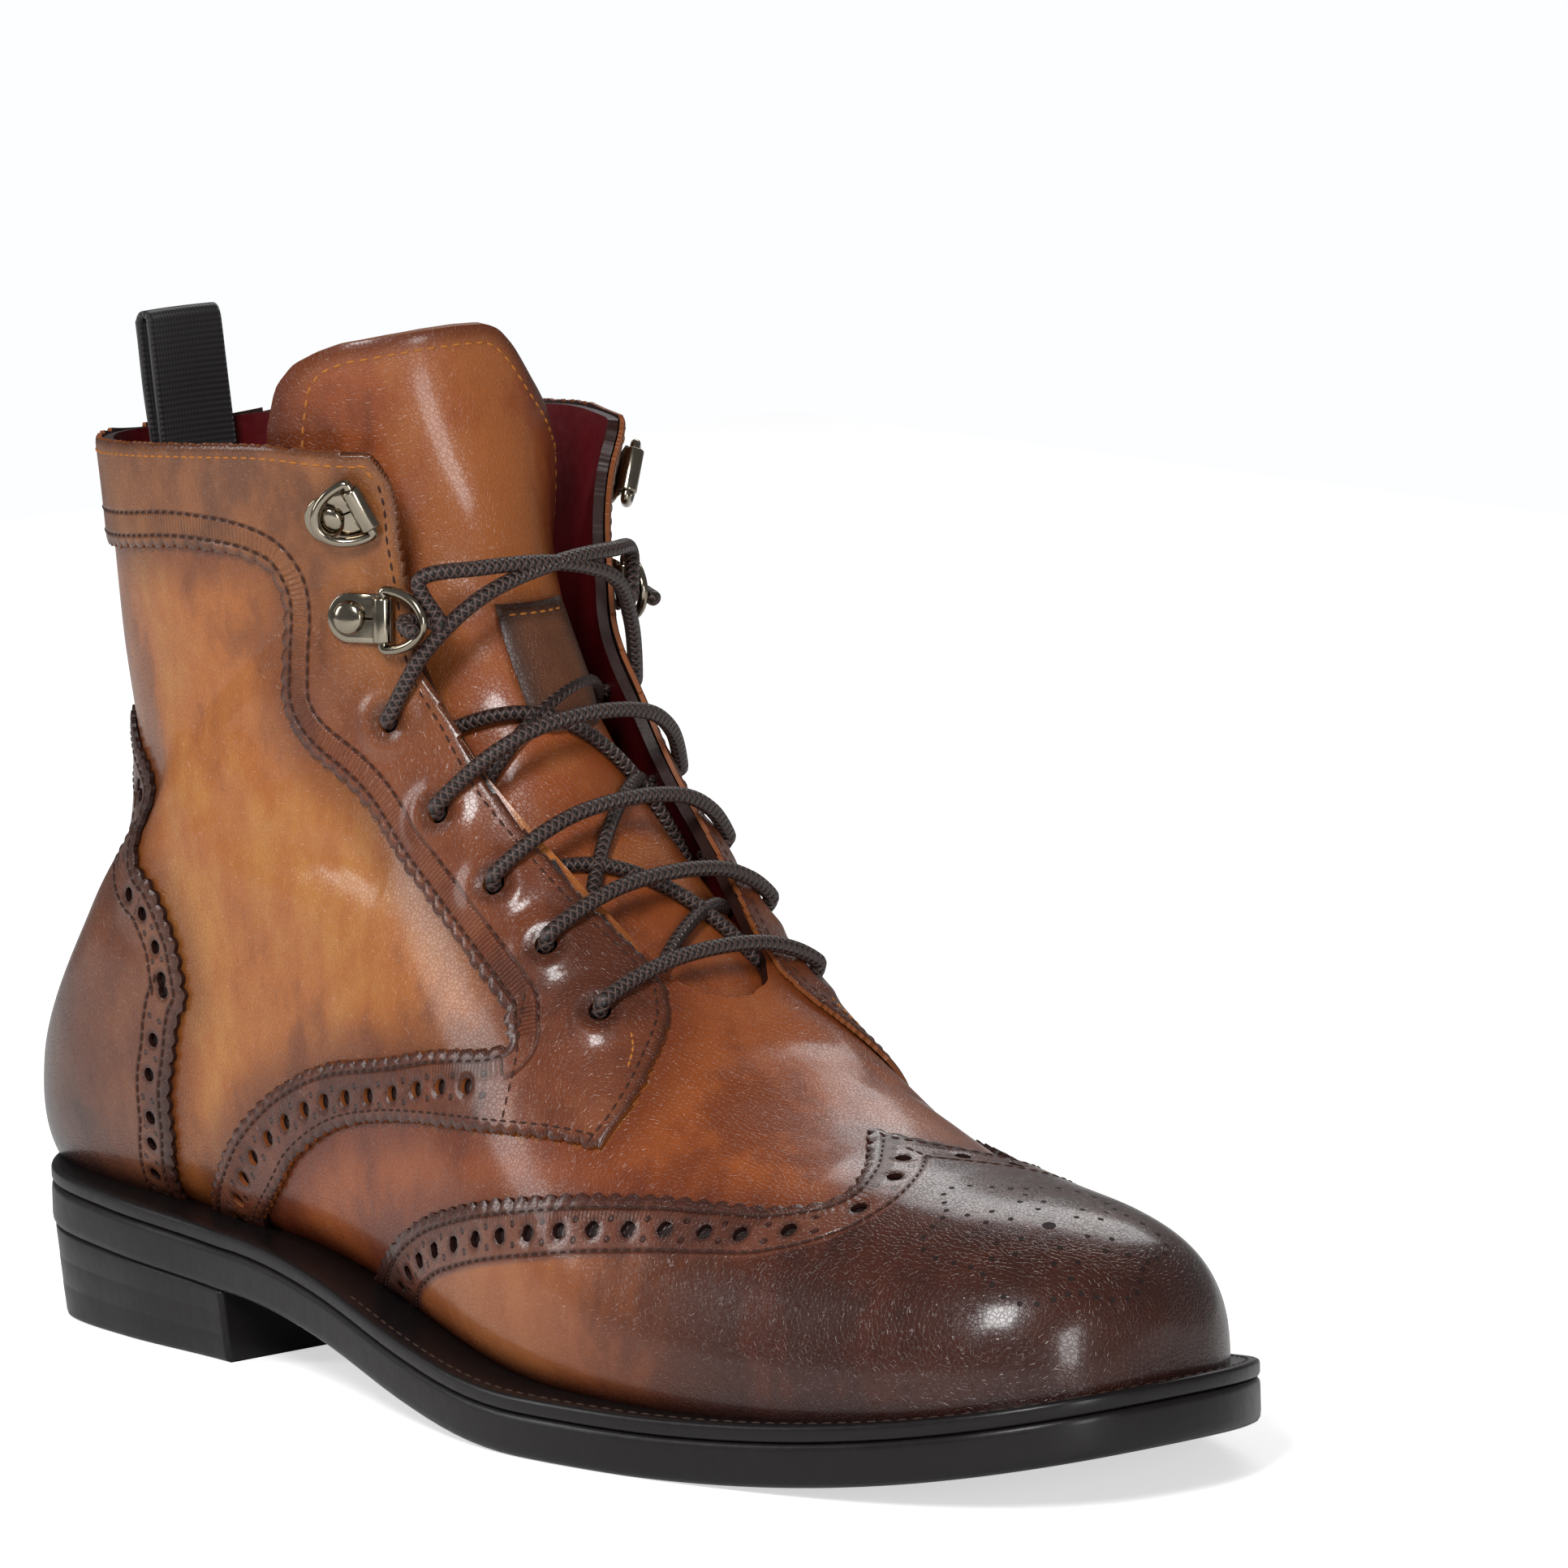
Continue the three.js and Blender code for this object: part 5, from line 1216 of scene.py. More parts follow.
def medallion():
    """Pinholes on the toe: a ring drawn in and out six times, six petals and a centre."""
    a = np.arange(42) / 42 * 2 * np.pi
    r = 20.5 + 2.4 * np.cos(6 * a)
    b = (np.arange(6) + 0.5) / 6 * 2 * np.pi
    rings = [np.column_stack([a, r])]
    rings += [np.column_stack([b + turn, np.full(6, far)])
              for turn, far in ((0.0, 6.6), (0.20, 10.6), (-0.20, 10.6), (0.0, 14.2))]
    a, r = np.concatenate(rings + [np.zeros((1, 2))]).T
    centre = np.array(MEDALLION)
    psi = turn_of(centre[0], centre[1])
    c, n = form(centre[0], psi), form_normal(centre[0], psi)
    ahead = unit(np.array([1.0, 0, 0]) - n * n[0])
    across = np.cross(n, ahead)
    q = c + r[:, None] * (1.15 * ahead * np.cos(a)[:, None] + across * np.sin(a)[:, None])
    t, u = settle(q, np.full(len(a), centre[0]), np.full(len(a), centre[1]), 12)
    pin_marks("medallion_pinholes", t, u, np.where(r > 0, 0.55, 1.3))


def pin_marks(name, t, u, radius):
    """Pinholes: small dished rounds laid on the leather, a ring of points and a centre, near
    black as painted shade inside the holes.
    """
    psi = turn_of(t, wrap(u))
    p, n = form(t, psi), form_normal(t, psi)
    side = unit(np.cross(n, [0.0, 1.0, 0.3]))
    up = np.cross(n, side)
    a = np.arange(10) / 10 * 2 * np.pi
    lift = (crease_relief(p) + FACE)[:, None]
    ring = ((p + n * (lift + 0.05))[:, None] + np.reshape(radius, (-1, 1, 1))
            * (side[:, None] * np.cos(a)[:, None] + up[:, None] * np.sin(a)[:, None]))
    points = np.concatenate([ring, (p + n * (lift + 0.02))[:, None]], 1)
    k = np.arange(10)
    fan = np.stack([k, (k + 1) % 10, np.full(10, 10)], 1)
    faces = (fan[None] + np.arange(len(p))[:, None, None] * 11).reshape(-1, 3)
    new_mesh(name, points.reshape(-1, 3), faces, [pinhole_shade])


def make_counter():
    """Heel counter, from side to side round the back."""
    lateral, medial = chart(COUNTER, -1), chart(COUNTER, 1)
    line = np.concatenate([lateral[::-1], medial[1:]])
    outline = np.concatenate([line, [[9.5, 0.2], [9.5, -0.2]]])
    holes = brogue_holes(line, outline, COUNTER_INWARD, 1.4)
    piece = cut_panel("counter_leather", outline, [(line, 3.4, 1.2, True)],
                      form_grid(9.4, 16.0, -0.8, 0.8, 0.85),
                      [counter_leather, cut_edge, cut_edge], holes)
    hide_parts("counter")
    for k, d in enumerate(COUNTER_ROWS):
        sewn(f"counter_stitches_{k}", inward_line(line, d, outline), thread_dark, pitch=2.2)


def make_quarter(side, name):
    """Quarter trim of one side: collar band, facing and wing strip in one panel."""
    band, strip = chart(BAND_LOW, side), chart(STRIP_UP, side)
    low, front = chart(STRIP_LOW, side), chart(QUARTER_FRONT, side)
    facing, collar = chart(FACING, side), chart(COLLAR, side)
    outline = np.concatenate([band, strip, low, front, facing, collar])
    band_line = np.concatenate([band, strip[:1]])
    edges = [(band_line, 3.6, 1.3, True), (strip, 3.6, 1.3, True), (low, 3.6, 1.2, False),
             (np.concatenate([front, facing, collar]), 0, 0, False)]
    holes = [((t, share_of(t, side * turn)), HOLE_SIZES[side], True) for t, turn in HOLES]
    holes += brogue_holes(strip, outline, STRIP_INWARD, 1.6)
    grid = form_grid(6.0, 17.7, min(side, 0), max(side, 0), 0.8)
    piece = cut_panel(f"quarter_{name}_leather", outline, edges, grid,
                      [facing_leather, cut_edge, tan_edge], holes)
    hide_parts(f"quarter_{name}")
    for k, d in enumerate(BAND_ROWS):
        sewn(f"band_stitches_{name}_{k}", inward_line(band_line, d, outline), thread_dark)
    sewn(f"strip_stitches_{name}_0", inward_line(strip, 2.7, outline), thread_dark)
    sewn(f"strip_stitches_{name}_1", inward_line(low, 2.6, outline), thread_dark)
    sewn(f"front_stitches_{name}", inward_line(np.concatenate([front[:-1], facing]), 2.6,
                                               outline), thread_dark)
    sewn(f"collar_stitches_{name}", inward_line(collar, 2.7, outline), thread_gold)
    sewn(f"seam_stitches_{name}", chart(SEAM, side), thread_dark)
    sewn(f"tack_stitches_{name}", chart(TACK, side), thread_gold, pitch=1.6, length=1.3)


def quarter_pattern(t, run, inward, colour, height):
    """Band and facing: two stitch rows with ridges between them. Wing strip, whose run starts
    past STRIP_RUN: one row, ridges and pairs of pinholes."""
    on_strip = ramp(t, run, STRIP_RUN - 1, STRIP_RUN + 1)
    off_strip = maths(t, "SUBTRACT", 1.0, on_strip)
    row_and_ridges = brogue_pattern(BAND_ROWS[:1], ridges=(3.1, 6.7))
    colour, height = row_and_ridges(t, run, inward, colour, height)
    colour, height = stitch_groove(t, inward, BAND_ROWS[1], colour, height, off_strip)
    at = maths(t, "SUBTRACT", maths(t, "MODULO", run, PITCH), PITCH / 2)
    return pin_pair(t, at, inward, (STRIP_INWARD, 2.0, 0.75, 0.4), colour, height, on_strip)


facing_leather = leather("quarter trim leather", BAND_TAN, FACING_BROWN, along(2, 158, 118),
                         edge_width=2.6, pattern=quarter_pattern)
make_toe_cap()
make_counter()
make_quarter(-1, "lateral")
make_quarter(1, "medial")


# Tongue, its lace keeper and the pull loop
COLLAR_TOP = welt_top(78.0) + 1.056 * SHAFT_RISE
COLLAR_BACK = welt_top(-12.0) + 0.975 * SHAFT_RISE


def tongue_place(across, t):
    """Point of the tongue's skin at a width from its middle, in millimetres, and section t,
    a little ahead of its solid where the laces draw it and behind it at the top."""
    across, t = np.broadcast_arrays(np.asarray(across, float), np.asarray(t, float))
    lateral = section_column("lateral", t) * BALL_WIDTH
    medial = section_column("medial", t) * BALL_WIDTH
    spread = np.clip(np.abs(across) / np.where(across < 0, lateral, medial), 0, 1)
    psi = np.pi - np.arcsin(spread ** (TONGUE_ROUND / 2))
    psi = np.where(across < 0, -psi, psi)
    ahead = (4.5 * hump(t - 12.0, 2.0) - 3.0 * smooth((t - 14.0) / 3)) * -np.cos(psi)
    p = form(t, psi, True)
    p[..., 0] += ahead
    return p, form_normal(t, psi, True)


def tongue_section(across, z, low=6.0, high=19.0):
    """Section at which the tongue's skin reaches a height, by halving."""
    across, z = np.broadcast_arrays(np.asarray(across, float), np.asarray(z, float))
    low, high = np.full(z.shape, low), np.full(z.shape, high)
    for _ in range(26):
        mid = (low + high) / 2
        under = tongue_place(across, mid)[0][..., 2] < z
        low, high = np.where(under, mid, low), np.where(under, high, mid)
    return mid


# Top line of the tongue: share of the half width, drop under its highest place
TONGUE_TOP = COLLAR_TOP + 21.6
TONGUE_DROP = np.array([[-1.0, 19.0], [-0.985, 11.0], [-0.94, 6.5], [-0.88, 4.4], [-0.79, 2.7],
                        [-0.6, 1.4], [-0.4, 0.5], [-0.2, 0.1], [0.0, 0.3], [0.14, 1.6],
                        [0.30, 5.2], [0.52, 12.0], [0.75, 18.0], [1.0, 26.0]])
TONGUE_SIDES = {-1: 35.2, 1: 27.0}


def tongue_width(share, t):
    """Width from the middle: the toe end's half width going over to each side's at the top."""
    far = np.where(share < 0, TONGUE_SIDES[-1], TONGUE_SIDES[1])
    return share * (TONGUE_TOE_HALF + (far - TONGUE_TOE_HALF)
                    * smooth((t - TONGUE_START) / TONGUE_WIDENS))


def make_tongue():
    """Grid across and along: shares of the width by shares of the way up to the top line."""
    a = np.sin(np.linspace(-np.pi / 2, np.pi / 2, 81))
    drop = np.interp(a, TONGUE_DROP[:, 0], TONGUE_DROP[:, 1])
    drop[1:-1] = (drop[:-2] + 2 * drop[1:-1] + drop[2:]) / 4
    end = tongue_section(tongue_width(a, 19.0), TONGUE_TOP - drop)
    b = np.linspace(0, 1, 150)[:, None]
    t = TONGUE_START + (end[None, :] - TONGUE_START) * b
    across = tongue_width(a[None, :], t)
    p, n = tongue_place(across, t)
    top = np.column_stack([across[-1], p[-1, :, 2]])
    sides = [np.column_stack([across[::3, k], p[::3, k, 2]]) for k in (0, -1)]
    rim = np.concatenate([sides[0], top, sides[1][::-1]])
    flat = np.stack([across, p[..., 2]], -1).reshape(-1, 2)
    edge = nearest(flat, rim)[0].reshape(across.shape)
    soft = (0.4 * hump(t - 11.2, 0.5) - 0.6 * hump(t - 10.3, 0.45) + 0.3 * hump(t - 14, 0.7)
            * np.sin(3 * a))
    lift = LINING - 0.5 * hump(edge, 0.8) + np.minimum(soft, 0.2)
    points = p + n * lift[..., None]
    uv = np.stack([across, 140 * b + 0 * a], -1)
    faces = grid_faces(*across.shape)
    inner = p + n * (LINING - TONGUE_THICKNESS)
    piece, rows = walled("tongue_leather", points.reshape(-1, 3), inner.reshape(-1, 3),
                         split(faces), [tongue_leather, tan_edge, tan_edge])
    put_uv(piece, uv.reshape(-1, 2)[rows])
    values = np.stack([0 * edge, edge, edge], -1).reshape(-1, 3)
    put_attribute(piece, "edge", values[rows])
    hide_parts("tongue")
    # A stitch row runs inside the edge, from the collar up one side and down the other
    row = np.concatenate([sides[0][-16:], top[1:-1], sides[1][::-1][:16]])
    ahead = unit(np.gradient(row, axis=0))
    row = row + 3.4 * np.column_stack([ahead[:, 1], -ahead[:, 0]])
    row = row[(row[:, 1] < TONGUE_TOP - 3.3) | (np.abs(row[:, 0]) < 30)]
    q, m = tongue_place(row[:, 0], tongue_section(row[:, 0], row[:, 1]))
    stitch_row("tongue_stitches", q + m * (LINING + 0.02), m, thread_gold, 2.6)


def make_keeper():
    """Leather loop on the tongue: a strip lifted in its middle, sewn above and below."""
    a, b = np.linspace(-8.5, 8.5, 35), np.linspace(0, 1, 45)
    corner = np.maximum(np.abs(a) - 5.5, 0) / 3.0
    z = COLLAR_TOP - 41.0 + (b[:, None] - 0.5) * 23.0
    z = z + (1 - np.sqrt(np.maximum(1 - corner ** 2, 0)))[None, :] * 3.0 * np.clip(
        1 - b[:, None] * 3, 0, 1)
    across = a[None, :] + 0 * z
    p, n = tongue_place(across, tongue_section(across, z, 8.0, 18.0))
    edge = np.minimum(8.5 - np.abs(a)[None, :], 11.5 - np.abs(b[:, None] - 0.5) * 23)
    lift = LINING + GAP + 1.2 + 1.1 * np.sin(np.pi * b[:, None]) ** 0.7 - 0.3 * hump(edge, 0.8)
    points = p + n * lift[..., None]
    piece, rows = walled("keeper_leather", points.reshape(-1, 3),
                         (points - n * OVERLAY).reshape(-1, 3), split(grid_faces(*z.shape)),
                         [keeper_leather, cut_edge, tan_edge])
    uv = np.stack(np.broadcast_arrays(a[None, :], b[:, None] * 23), -1).reshape(-1, 2)
    put_uv(piece, uv[rows])
    put_attribute(piece, "edge", np.stack([0 * edge, edge, edge], -1).reshape(-1, 3)[rows])
    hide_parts("lace_keeper")
    for k, i in enumerate((4, 40)):
        stitch_row(f"keeper_stitches_{k}", points[i, 3:-3], n[i, 3:-3], thread_gold, 2.2, 1.5)


def make_pull():
    """Folded webbing: up over the lining, round a small fold and down again inside it."""
    w = np.linspace(-8.6, 8.6, 25)
    low, top = COLLAR_BACK - 22.0, COLLAR_BACK + 21.8
    z = np.linspace(low, top - 2.4, 40)
    middle = []
    for y in w:
        lo, hi = np.full(40, 13.0), np.full(40, 19.0)
        for _ in range(26):
            t = (lo + hi) / 2
            half = section_column("medial" if y >= 0 else "lateral", t) * BALL_WIDTH
            flat = section_column("flat", t)
            psi = np.arcsin(np.clip(abs(y) / half, 0, 1) ** (flat / 2)) * (1 if y >= 0 else -1)
            q = form(t, psi)
            lo, hi = np.where(q[:, 2] < z, t, lo), np.where(q[:, 2] < z, hi, t)
        middle.append(q[:, 0])
    x = np.stack(middle, 1)
    near, far = x + 3.0, x + 6.4
    turn = np.linspace(0, np.pi, 14)[1:-1][:, None]
    fold_x = (near[-1] + far[-1]) / 2 - np.cos(turn) * (far[-1] - near[-1]) / 2
    fold_z = z[-1] + np.sin(turn) * 1.7 + 0 * fold_x
    narrow = np.concatenate([0.94 + 0.08 * (z - low) / (top - low), np.full(12, 0.99),
                             1.02 - 0.02 * (z[::-1] - low) / (top - low)])[:, None]
    px = np.concatenate([near, fold_x, far[::-1]])
    pz = np.concatenate([z[:, None] + 0 * near, fold_z, z[::-1, None] + 0 * far])
    bulge = 0.35 * hump(np.concatenate([z, np.full(12, 500.0), np.full(40, 500.0)])[:, None]
                        - (COLLAR_BACK + 6), 8)
    p = np.stack([px - bulge, w[None, :] * narrow + 0 * px, pz], -1)
    run = np.concatenate([[0], np.cumsum(np.linalg.norm(np.diff(p[:, 12], axis=0), axis=1))])
    uv = np.stack(np.broadcast_arrays(run[:, None], w[None, :]), -1)
    piece = sheet_grid("pull_webbing", p, [webbing], uv=uv)
    put_attribute(piece, "run", np.concatenate([uv, 0 * uv[..., :1]], -1).reshape(-1, 3))
    wall(piece, 1.3)
    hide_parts("pull_loop")


make_tongue()
make_keeper()
make_pull()


# Sole: outsole, welt and heel as profiles carried round the sole's outline
SOLE_LAST = len(SOLE_ROWS) - 1
SIDE_POINTS = 130


def sole_edge(side, t, inset):
    """Place on the sole's outline at row t, moved inward along its normal."""
    def at(s):
        x = table_column(SOLE_ROWS, 0, True, s) * UPPER_LENGTH
        half = table_column(SOLE_ROWS, 1 if side < 0 else 2, False, s) * BALL_WIDTH
        return np.stack([x, toe_lean(x) + side * half], 1)
    step = 0.02
    p = at(t)
    d = unit(at(np.minimum(t + step, SOLE_LAST)) - at(np.maximum(t - step, 0)))
    n = np.stack([d[:, 1], -d[:, 0]], 1) * -side
    n[t < step] = (-1, 0)
    n[t > SOLE_LAST - step] = (1, 0)
    return p + n * np.reshape(inset, (-1, 1))


SOLE_T = SOLE_LAST * (0.5 - 0.5 * np.cos(np.pi * np.linspace(0, 1, SIDE_POINTS + 1)))


def sole_ring(inset):
    """Closed outline at an inset: the lateral side from toe to heel, then the medial side."""
    inset = np.broadcast_to(np.asarray(inset, float), (2 * SIDE_POINTS,))
    a = sole_edge(-1, SOLE_T, inset[:SIDE_POINTS + 1])
    back = np.concatenate([inset[SIDE_POINTS:], inset[:1]])[::-1]
    b = sole_edge(1, SOLE_T, back)
    return np.concatenate([a, b[::-1][1:-1]])


def sole_piece(name, profile, low, high, material, close=True):
    """Rings of the outline: each profile row is an inset, a share of the height and a lift."""
    rings = []
    for inset, share, lift in profile:
        xy = sole_ring(inset)
        z = low(xy[:, 0]) * (1 - share) + high(xy[:, 0]) * share + lift
        rings.append(np.column_stack([xy, z]))
    p = np.stack(rings)
    rows, cols = p.shape[:2]
    faces = [grid_faces(rows, cols, not close, True)]
    if close:
        n = SIDE_POINTS
        i = np.arange(1, n - 1)
        quads = np.stack([i, i + 1, 2 * n - i - 1, 2 * n - i], 1)
        ends = np.array([[0, 1, 2 * n - 1], [n - 1, n, n + 1]])
        top = (rows - 1) * cols
        faces += [quads[:, ::-1], ends[:, ::-1], quads + top, ends + top]
    return new_mesh(name, p.reshape(-1, 3), faces, [material])


def outsole_top(x):
    """Top of the outsole: the tread line plus its thickness."""
    return tread_line(x) + OUTSOLE_THICKNESS


def feather_line():
    """Both sides' places where the leather meets the welt's height, by halving the share."""
    t = np.linspace(0.0, 11.4, 300)
    sides = []
    for s in (-1, 1):
        lo, hi = np.zeros(300), np.full(300, 0.62)
        for _ in range(30):
            mid = (lo + hi) / 2
            q = form(t, turn_of(t, s * np.maximum(mid, 1e-6)))
            up = feather(q, 0) > 0
            lo, hi = np.where(up, lo, mid), np.where(up, mid, hi)
        sides.append(q)
    return np.concatenate([sides[0], sides[1][::-1]])


def make_sole():
    """Outsole with rounded edges, the welt round the leather and its stitch row."""
    outsole = [(4.0, 0, 0.0), (1.4, 0, 0.0), (0.6, 0, 0.25), (0.15, 0, 0.9), (0, 0, 2.0),
               (0, 0.5, 0), (0, 1, -1.6), (0.1, 1, -0.8), (0.45, 1, -0.2), (1.0, 1, 0.0),
               (6.0, 1, 0.0)]
    piece = sole_piece("outsole_leather", outsole, tread_line, outsole_top, sole_black)
    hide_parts("outsole")
    line = feather_line()[:, :2]
    outer = sole_ring(0.0)
    gap, _ = nearest(outer, line, closed=True)
    inner = gap + 1.2
    profile = [(inner, 0, 0.05), (0.9, 0, 0.05), (0.3, 0, 0.25), (0.02, 0, 0.8),
               (0.0, 1, -0.9), (0.2, 1, -0.35), (0.75, 1, -0.02), (2.0, 1, 0.02),
               (inner * 0.6, 1, 0.0), (inner, 1, 0.0), (inner + 0.1, 1, -1.0)]
    piece = sole_piece("welt_leather", profile, outsole_top, welt_top, sole_black, close=False)
    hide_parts("welt")
    xy = sole_ring(2.3)
    path = np.column_stack([xy, welt_top(xy[:, 0]) + 0.04])
    path = np.roll(path, SIDE_POINTS, axis=0)
    keep = path[:, 0] > 82
    first = np.argmax(keep)
    path = path[first:first + keep.sum()]
    up = np.tile([0.0, 0.0, 1.0], (len(path), 1))
    stitch_row("welt_stitches", path, up, thread_welt, 3.2, 2.4, 0.34, 0.12)


def make_heel():
    """Stacked heel: the outline behind the breast, with a fine line between its lifts."""
    rows = [(6.0, 0, 0.0), (2.9, 0, 0.0), (2.3, 0, 0.3), (2.1, 0, 1.0)]
    for share in (0.36, 0.66):
        inset = 2.1 - 1.6 * share
        rows += [(inset, share, -0.25), (inset + 0.07, share, 0.0), (inset, share, 0.25)]
    rows += [(0.55, 1, -0.6), (0.75, 1, 0.0), (6.0, 1, 0.0)]
    rings = []
    for inset, share, lift in rows:
        xy = sole_ring(inset)
        inside = xy[:, 0] < HEEL_FRONT
        first = np.argmax(inside)
        part = xy[inside]
        a, b = xy[first - 1], xy[first + inside.sum()]
        fa = (HEEL_FRONT - part[0, 0]) / (a[0] - part[0, 0])
        fb = (HEEL_FRONT - part[-1, 0]) / (b[0] - part[-1, 0])
        start = part[0] + (a - part[0]) * fa
        end = part[-1] + (b - part[-1]) * fb
        cross = end + (start - end) * np.linspace(0, 1, 12)[1:-1, None]
        ring = np.concatenate([[start], part, [end], cross])
        run = np.concatenate([[0], np.cumsum(np.linalg.norm(np.diff(
            np.concatenate([ring, ring[:1]]), axis=0), axis=1))])
        s = np.linspace(0, run[-1], 201)[:-1]
        long = np.concatenate([ring, ring[:1]])
        ring = np.column_stack([np.interp(s, run, long[:, 0]), np.interp(s, run, long[:, 1])])
        z = (tread_line(ring[:, 0]) - 0.05) * share + lift
        rings.append(np.column_stack([ring, z]))
    p = np.stack(rings)
    count = p.shape[1]
    faces = [grid_faces(len(p), count, False, True), np.arange(count)[None, ::-1],
             (len(p) - 1) * count + np.arange(count)[None, :]]
    faces = [f[:, ::-1] for f in faces]
    piece = new_mesh("heel_stack", p.reshape(-1, 3), faces, [sole_black])
    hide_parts("heel_block")


thread_welt = plain("welt thread", rgb(58, 40, 30), 0.6, bump=0.00006, scale=2500)
make_sole()
make_heel()


# Fittings: frames on the leather, as in the solids
UPPER_RING, LACED_RING = (14.61, 2.185), (12.18, 2.397)
PLATE_HALF, PLATE_THICK, RIVET_BACK, BARREL_AHEAD, PLATE_CLEAR = 4.7, 0.9, 3.2, 4.4, 0.5
BARREL_HALF, BARREL_RADIUS, BARREL_BORE, WIRE = 4.2, 1.9, 1.25, 0.95
RING_HALF, RING_DEPTH, RING_CORNER = 5.6, 9.1, 0.9
UPPER_TWIST, UPPER_ANGLE, LACED_ANGLE = 23.0, 168.0, 8.0


def surface_frame(place, side):
    """Ahead round the section to the throat, up along the leather, and out."""
    section, turn = place
    out = form_normal(section, side * turn)
    ahead = unit(form(section, side * (turn + 0.01)) - form(section, side * (turn - 0.01)))
    along = unit(np.cross(out, ahead) * -side)
    return ahead, along, out, form(section, side * turn) + out * FACE


def upright_frame(place, side, twist):
    """The same place with its up side leaning back from the vertical by a twist in degrees."""
    _, _, out, origin = surface_frame(place, side)
    along = unit(np.array([0, 0, 1.0]) - out * out[2])
    r = np.radians(-side * twist)
    along = along * np.cos(r) + np.cross(out, along) * np.sin(r)
    ahead = unit(np.cross(along, out) * -side)
    return ahead, along, out, origin


def in_frame(f, ahead, along, out):
    """Points of a frame (three directions and an origin) from three distances."""
    ahead, along, out = (np.asarray(v, float)[..., None] for v in (ahead, along, out))
    return f[3] + f[0] * ahead + f[1] * along + f[2] * out


def ring_frame(f, angle, side):
    """Frame of a ring in its barrel, turned about the barrel by an angle in degrees."""
    r = np.radians(angle)
    ahead = f[0] * np.cos(r) + f[2] * np.sin(r)
    out = unit(np.cross(f[1], ahead) * -side)
    return ahead, f[1], out, in_frame(f, BARREL_AHEAD, 0, PLATE_CLEAR + BARREL_RADIUS)


def ring_path():
    """Flat D: a straight bar, two small corners and half an ellipse."""
    h, c = RING_HALF, RING_CORNER
    bar = np.linspace(-(h - c), h - c, 14)
    bar = np.column_stack([0 * bar, bar])
    u = np.linspace(0, 1, 6)[1:-1, None]
    corner = (1 - u) ** 2 * [0, h - c] + 2 * u * (1 - u) * [0, h] + u ** 2 * [c, h]
    a = np.linspace(np.pi / 2, -np.pi / 2, 60)
    arc = np.column_stack([c + (RING_DEPTH - c) * np.cos(a), h * np.sin(a)])
    return np.concatenate([bar, corner, arc, (corner * [1, -1])[::-1]])


def make_fitting(name, place, side, twist, angle):
    """One fitting: plate with a rolled barrel, rivet and ring."""
    f = upright_frame(place, side, twist)
    a = np.linspace(np.pi / 2, 1.5 * np.pi, 48)
    rings = []
    for inset, z in ((4.5, 0.0), (0.2, 0.0), (0, 0.15), (0, 0.6), (0.08, 0.78), (0.3, 0.9),
                     (1.2, 0.93), (4.5, 0.93)):
        r = PLATE_HALF - inset
        x = np.concatenate([[BARREL_AHEAD], -RIVET_BACK + r * np.cos(a), [BARREL_AHEAD]])
        y = np.concatenate([[r], r * np.sin(a), [-r]])
        rings.append(in_frame(f, x, y, PLATE_CLEAR + z + 0 * x))
    plate = np.stack(rings)
    count = plate.shape[1]
    faces = grid_faces(len(plate), count, False, True)
    points = [plate.reshape(-1, 3)]
    # Rolled barrel: a closed wall section turned about its axis
    L, R, B = BARREL_HALF, BARREL_RADIUS, BARREL_BORE
    wall_section = np.array([(B, -L), (B, L), (B + 0.15, L + 0.05), (R - 0.25, L + 0.05),
                             (R - 0.05, L - 0.1), (R, L - 0.35), (R, -L + 0.35),
                             (R - 0.05, -L + 0.1), (R - 0.25, -L - 0.05),
                             (B + 0.15, -L - 0.05)])
    b = np.arange(40) / 40 * 2 * np.pi
    r, y = wall_section[:, 0], wall_section[:, 1]
    x = BARREL_AHEAD + r[None, :] * np.cos(b)[:, None]
    z = PLATE_CLEAR + R + r[None, :] * np.sin(b)[:, None]
    barrel = in_frame(f, x, y[None, :] + 0 * x, z)
    more = grid_faces(40, len(r), True, True) + len(points[0])
    points.append(barrel.reshape(-1, 3))
    faces = [faces, more[:, ::-1]] if side > 0 else [faces[:, ::-1], more]
    piece = new_mesh(f"plate_{name}_metal", np.concatenate(points), faces, [nickel])
    fix_normals(piece)
    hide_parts(f"plate_{name}")
    # Rivet: a turned dome with a low lip
    prof = [(0.0, 0.0), (2.9, 0.0), (3.25, 0.12), (3.3, 0.35), (3.1, 0.62)]
    dome = [(3.0 * np.cos(v), 0.62 + 1.0 * np.sin(v)) for v in np.linspace(0.15, 1.52, 12)]
    prof = np.array(prof + dome + [(0.0, 1.62)])
    c = np.arange(56) / 56 * 2 * np.pi
    x = -RIVET_BACK + prof[:, :1] * np.cos(c)
    y = prof[:, :1] * np.sin(c)
    z = PLATE_CLEAR + PLATE_THICK + 0.02 + prof[:, 1:] + 0 * x
    piece = sheet_grid(f"rivet_{name}_metal", in_frame(f, x, y, z), [nickel], closed_cols=True)
    merge_seams(piece)
    fix_normals(piece)
    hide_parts(f"rivet_{name}")
    g = ring_frame(f, angle, side)
    path = ring_path()
    line = in_frame(g, path[:, 0], path[:, 1], 0 * path[:, 0])
    body = f"ring_{name}" if name.startswith("upper") else BODY
    piece = tube(f"ring_{name}_metal", line, WIRE, [nickel], 20, True, body)
    fix_normals(piece)
    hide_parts(f"ring_{name}")


def fix_normals(piece):
    """Turns all faces outward."""
    b = bmesh.new()
    b.from_mesh(piece.data)
    bmesh.ops.recalc_face_normals(b, faces=b.faces)
    b.to_mesh(piece.data)
    b.free()


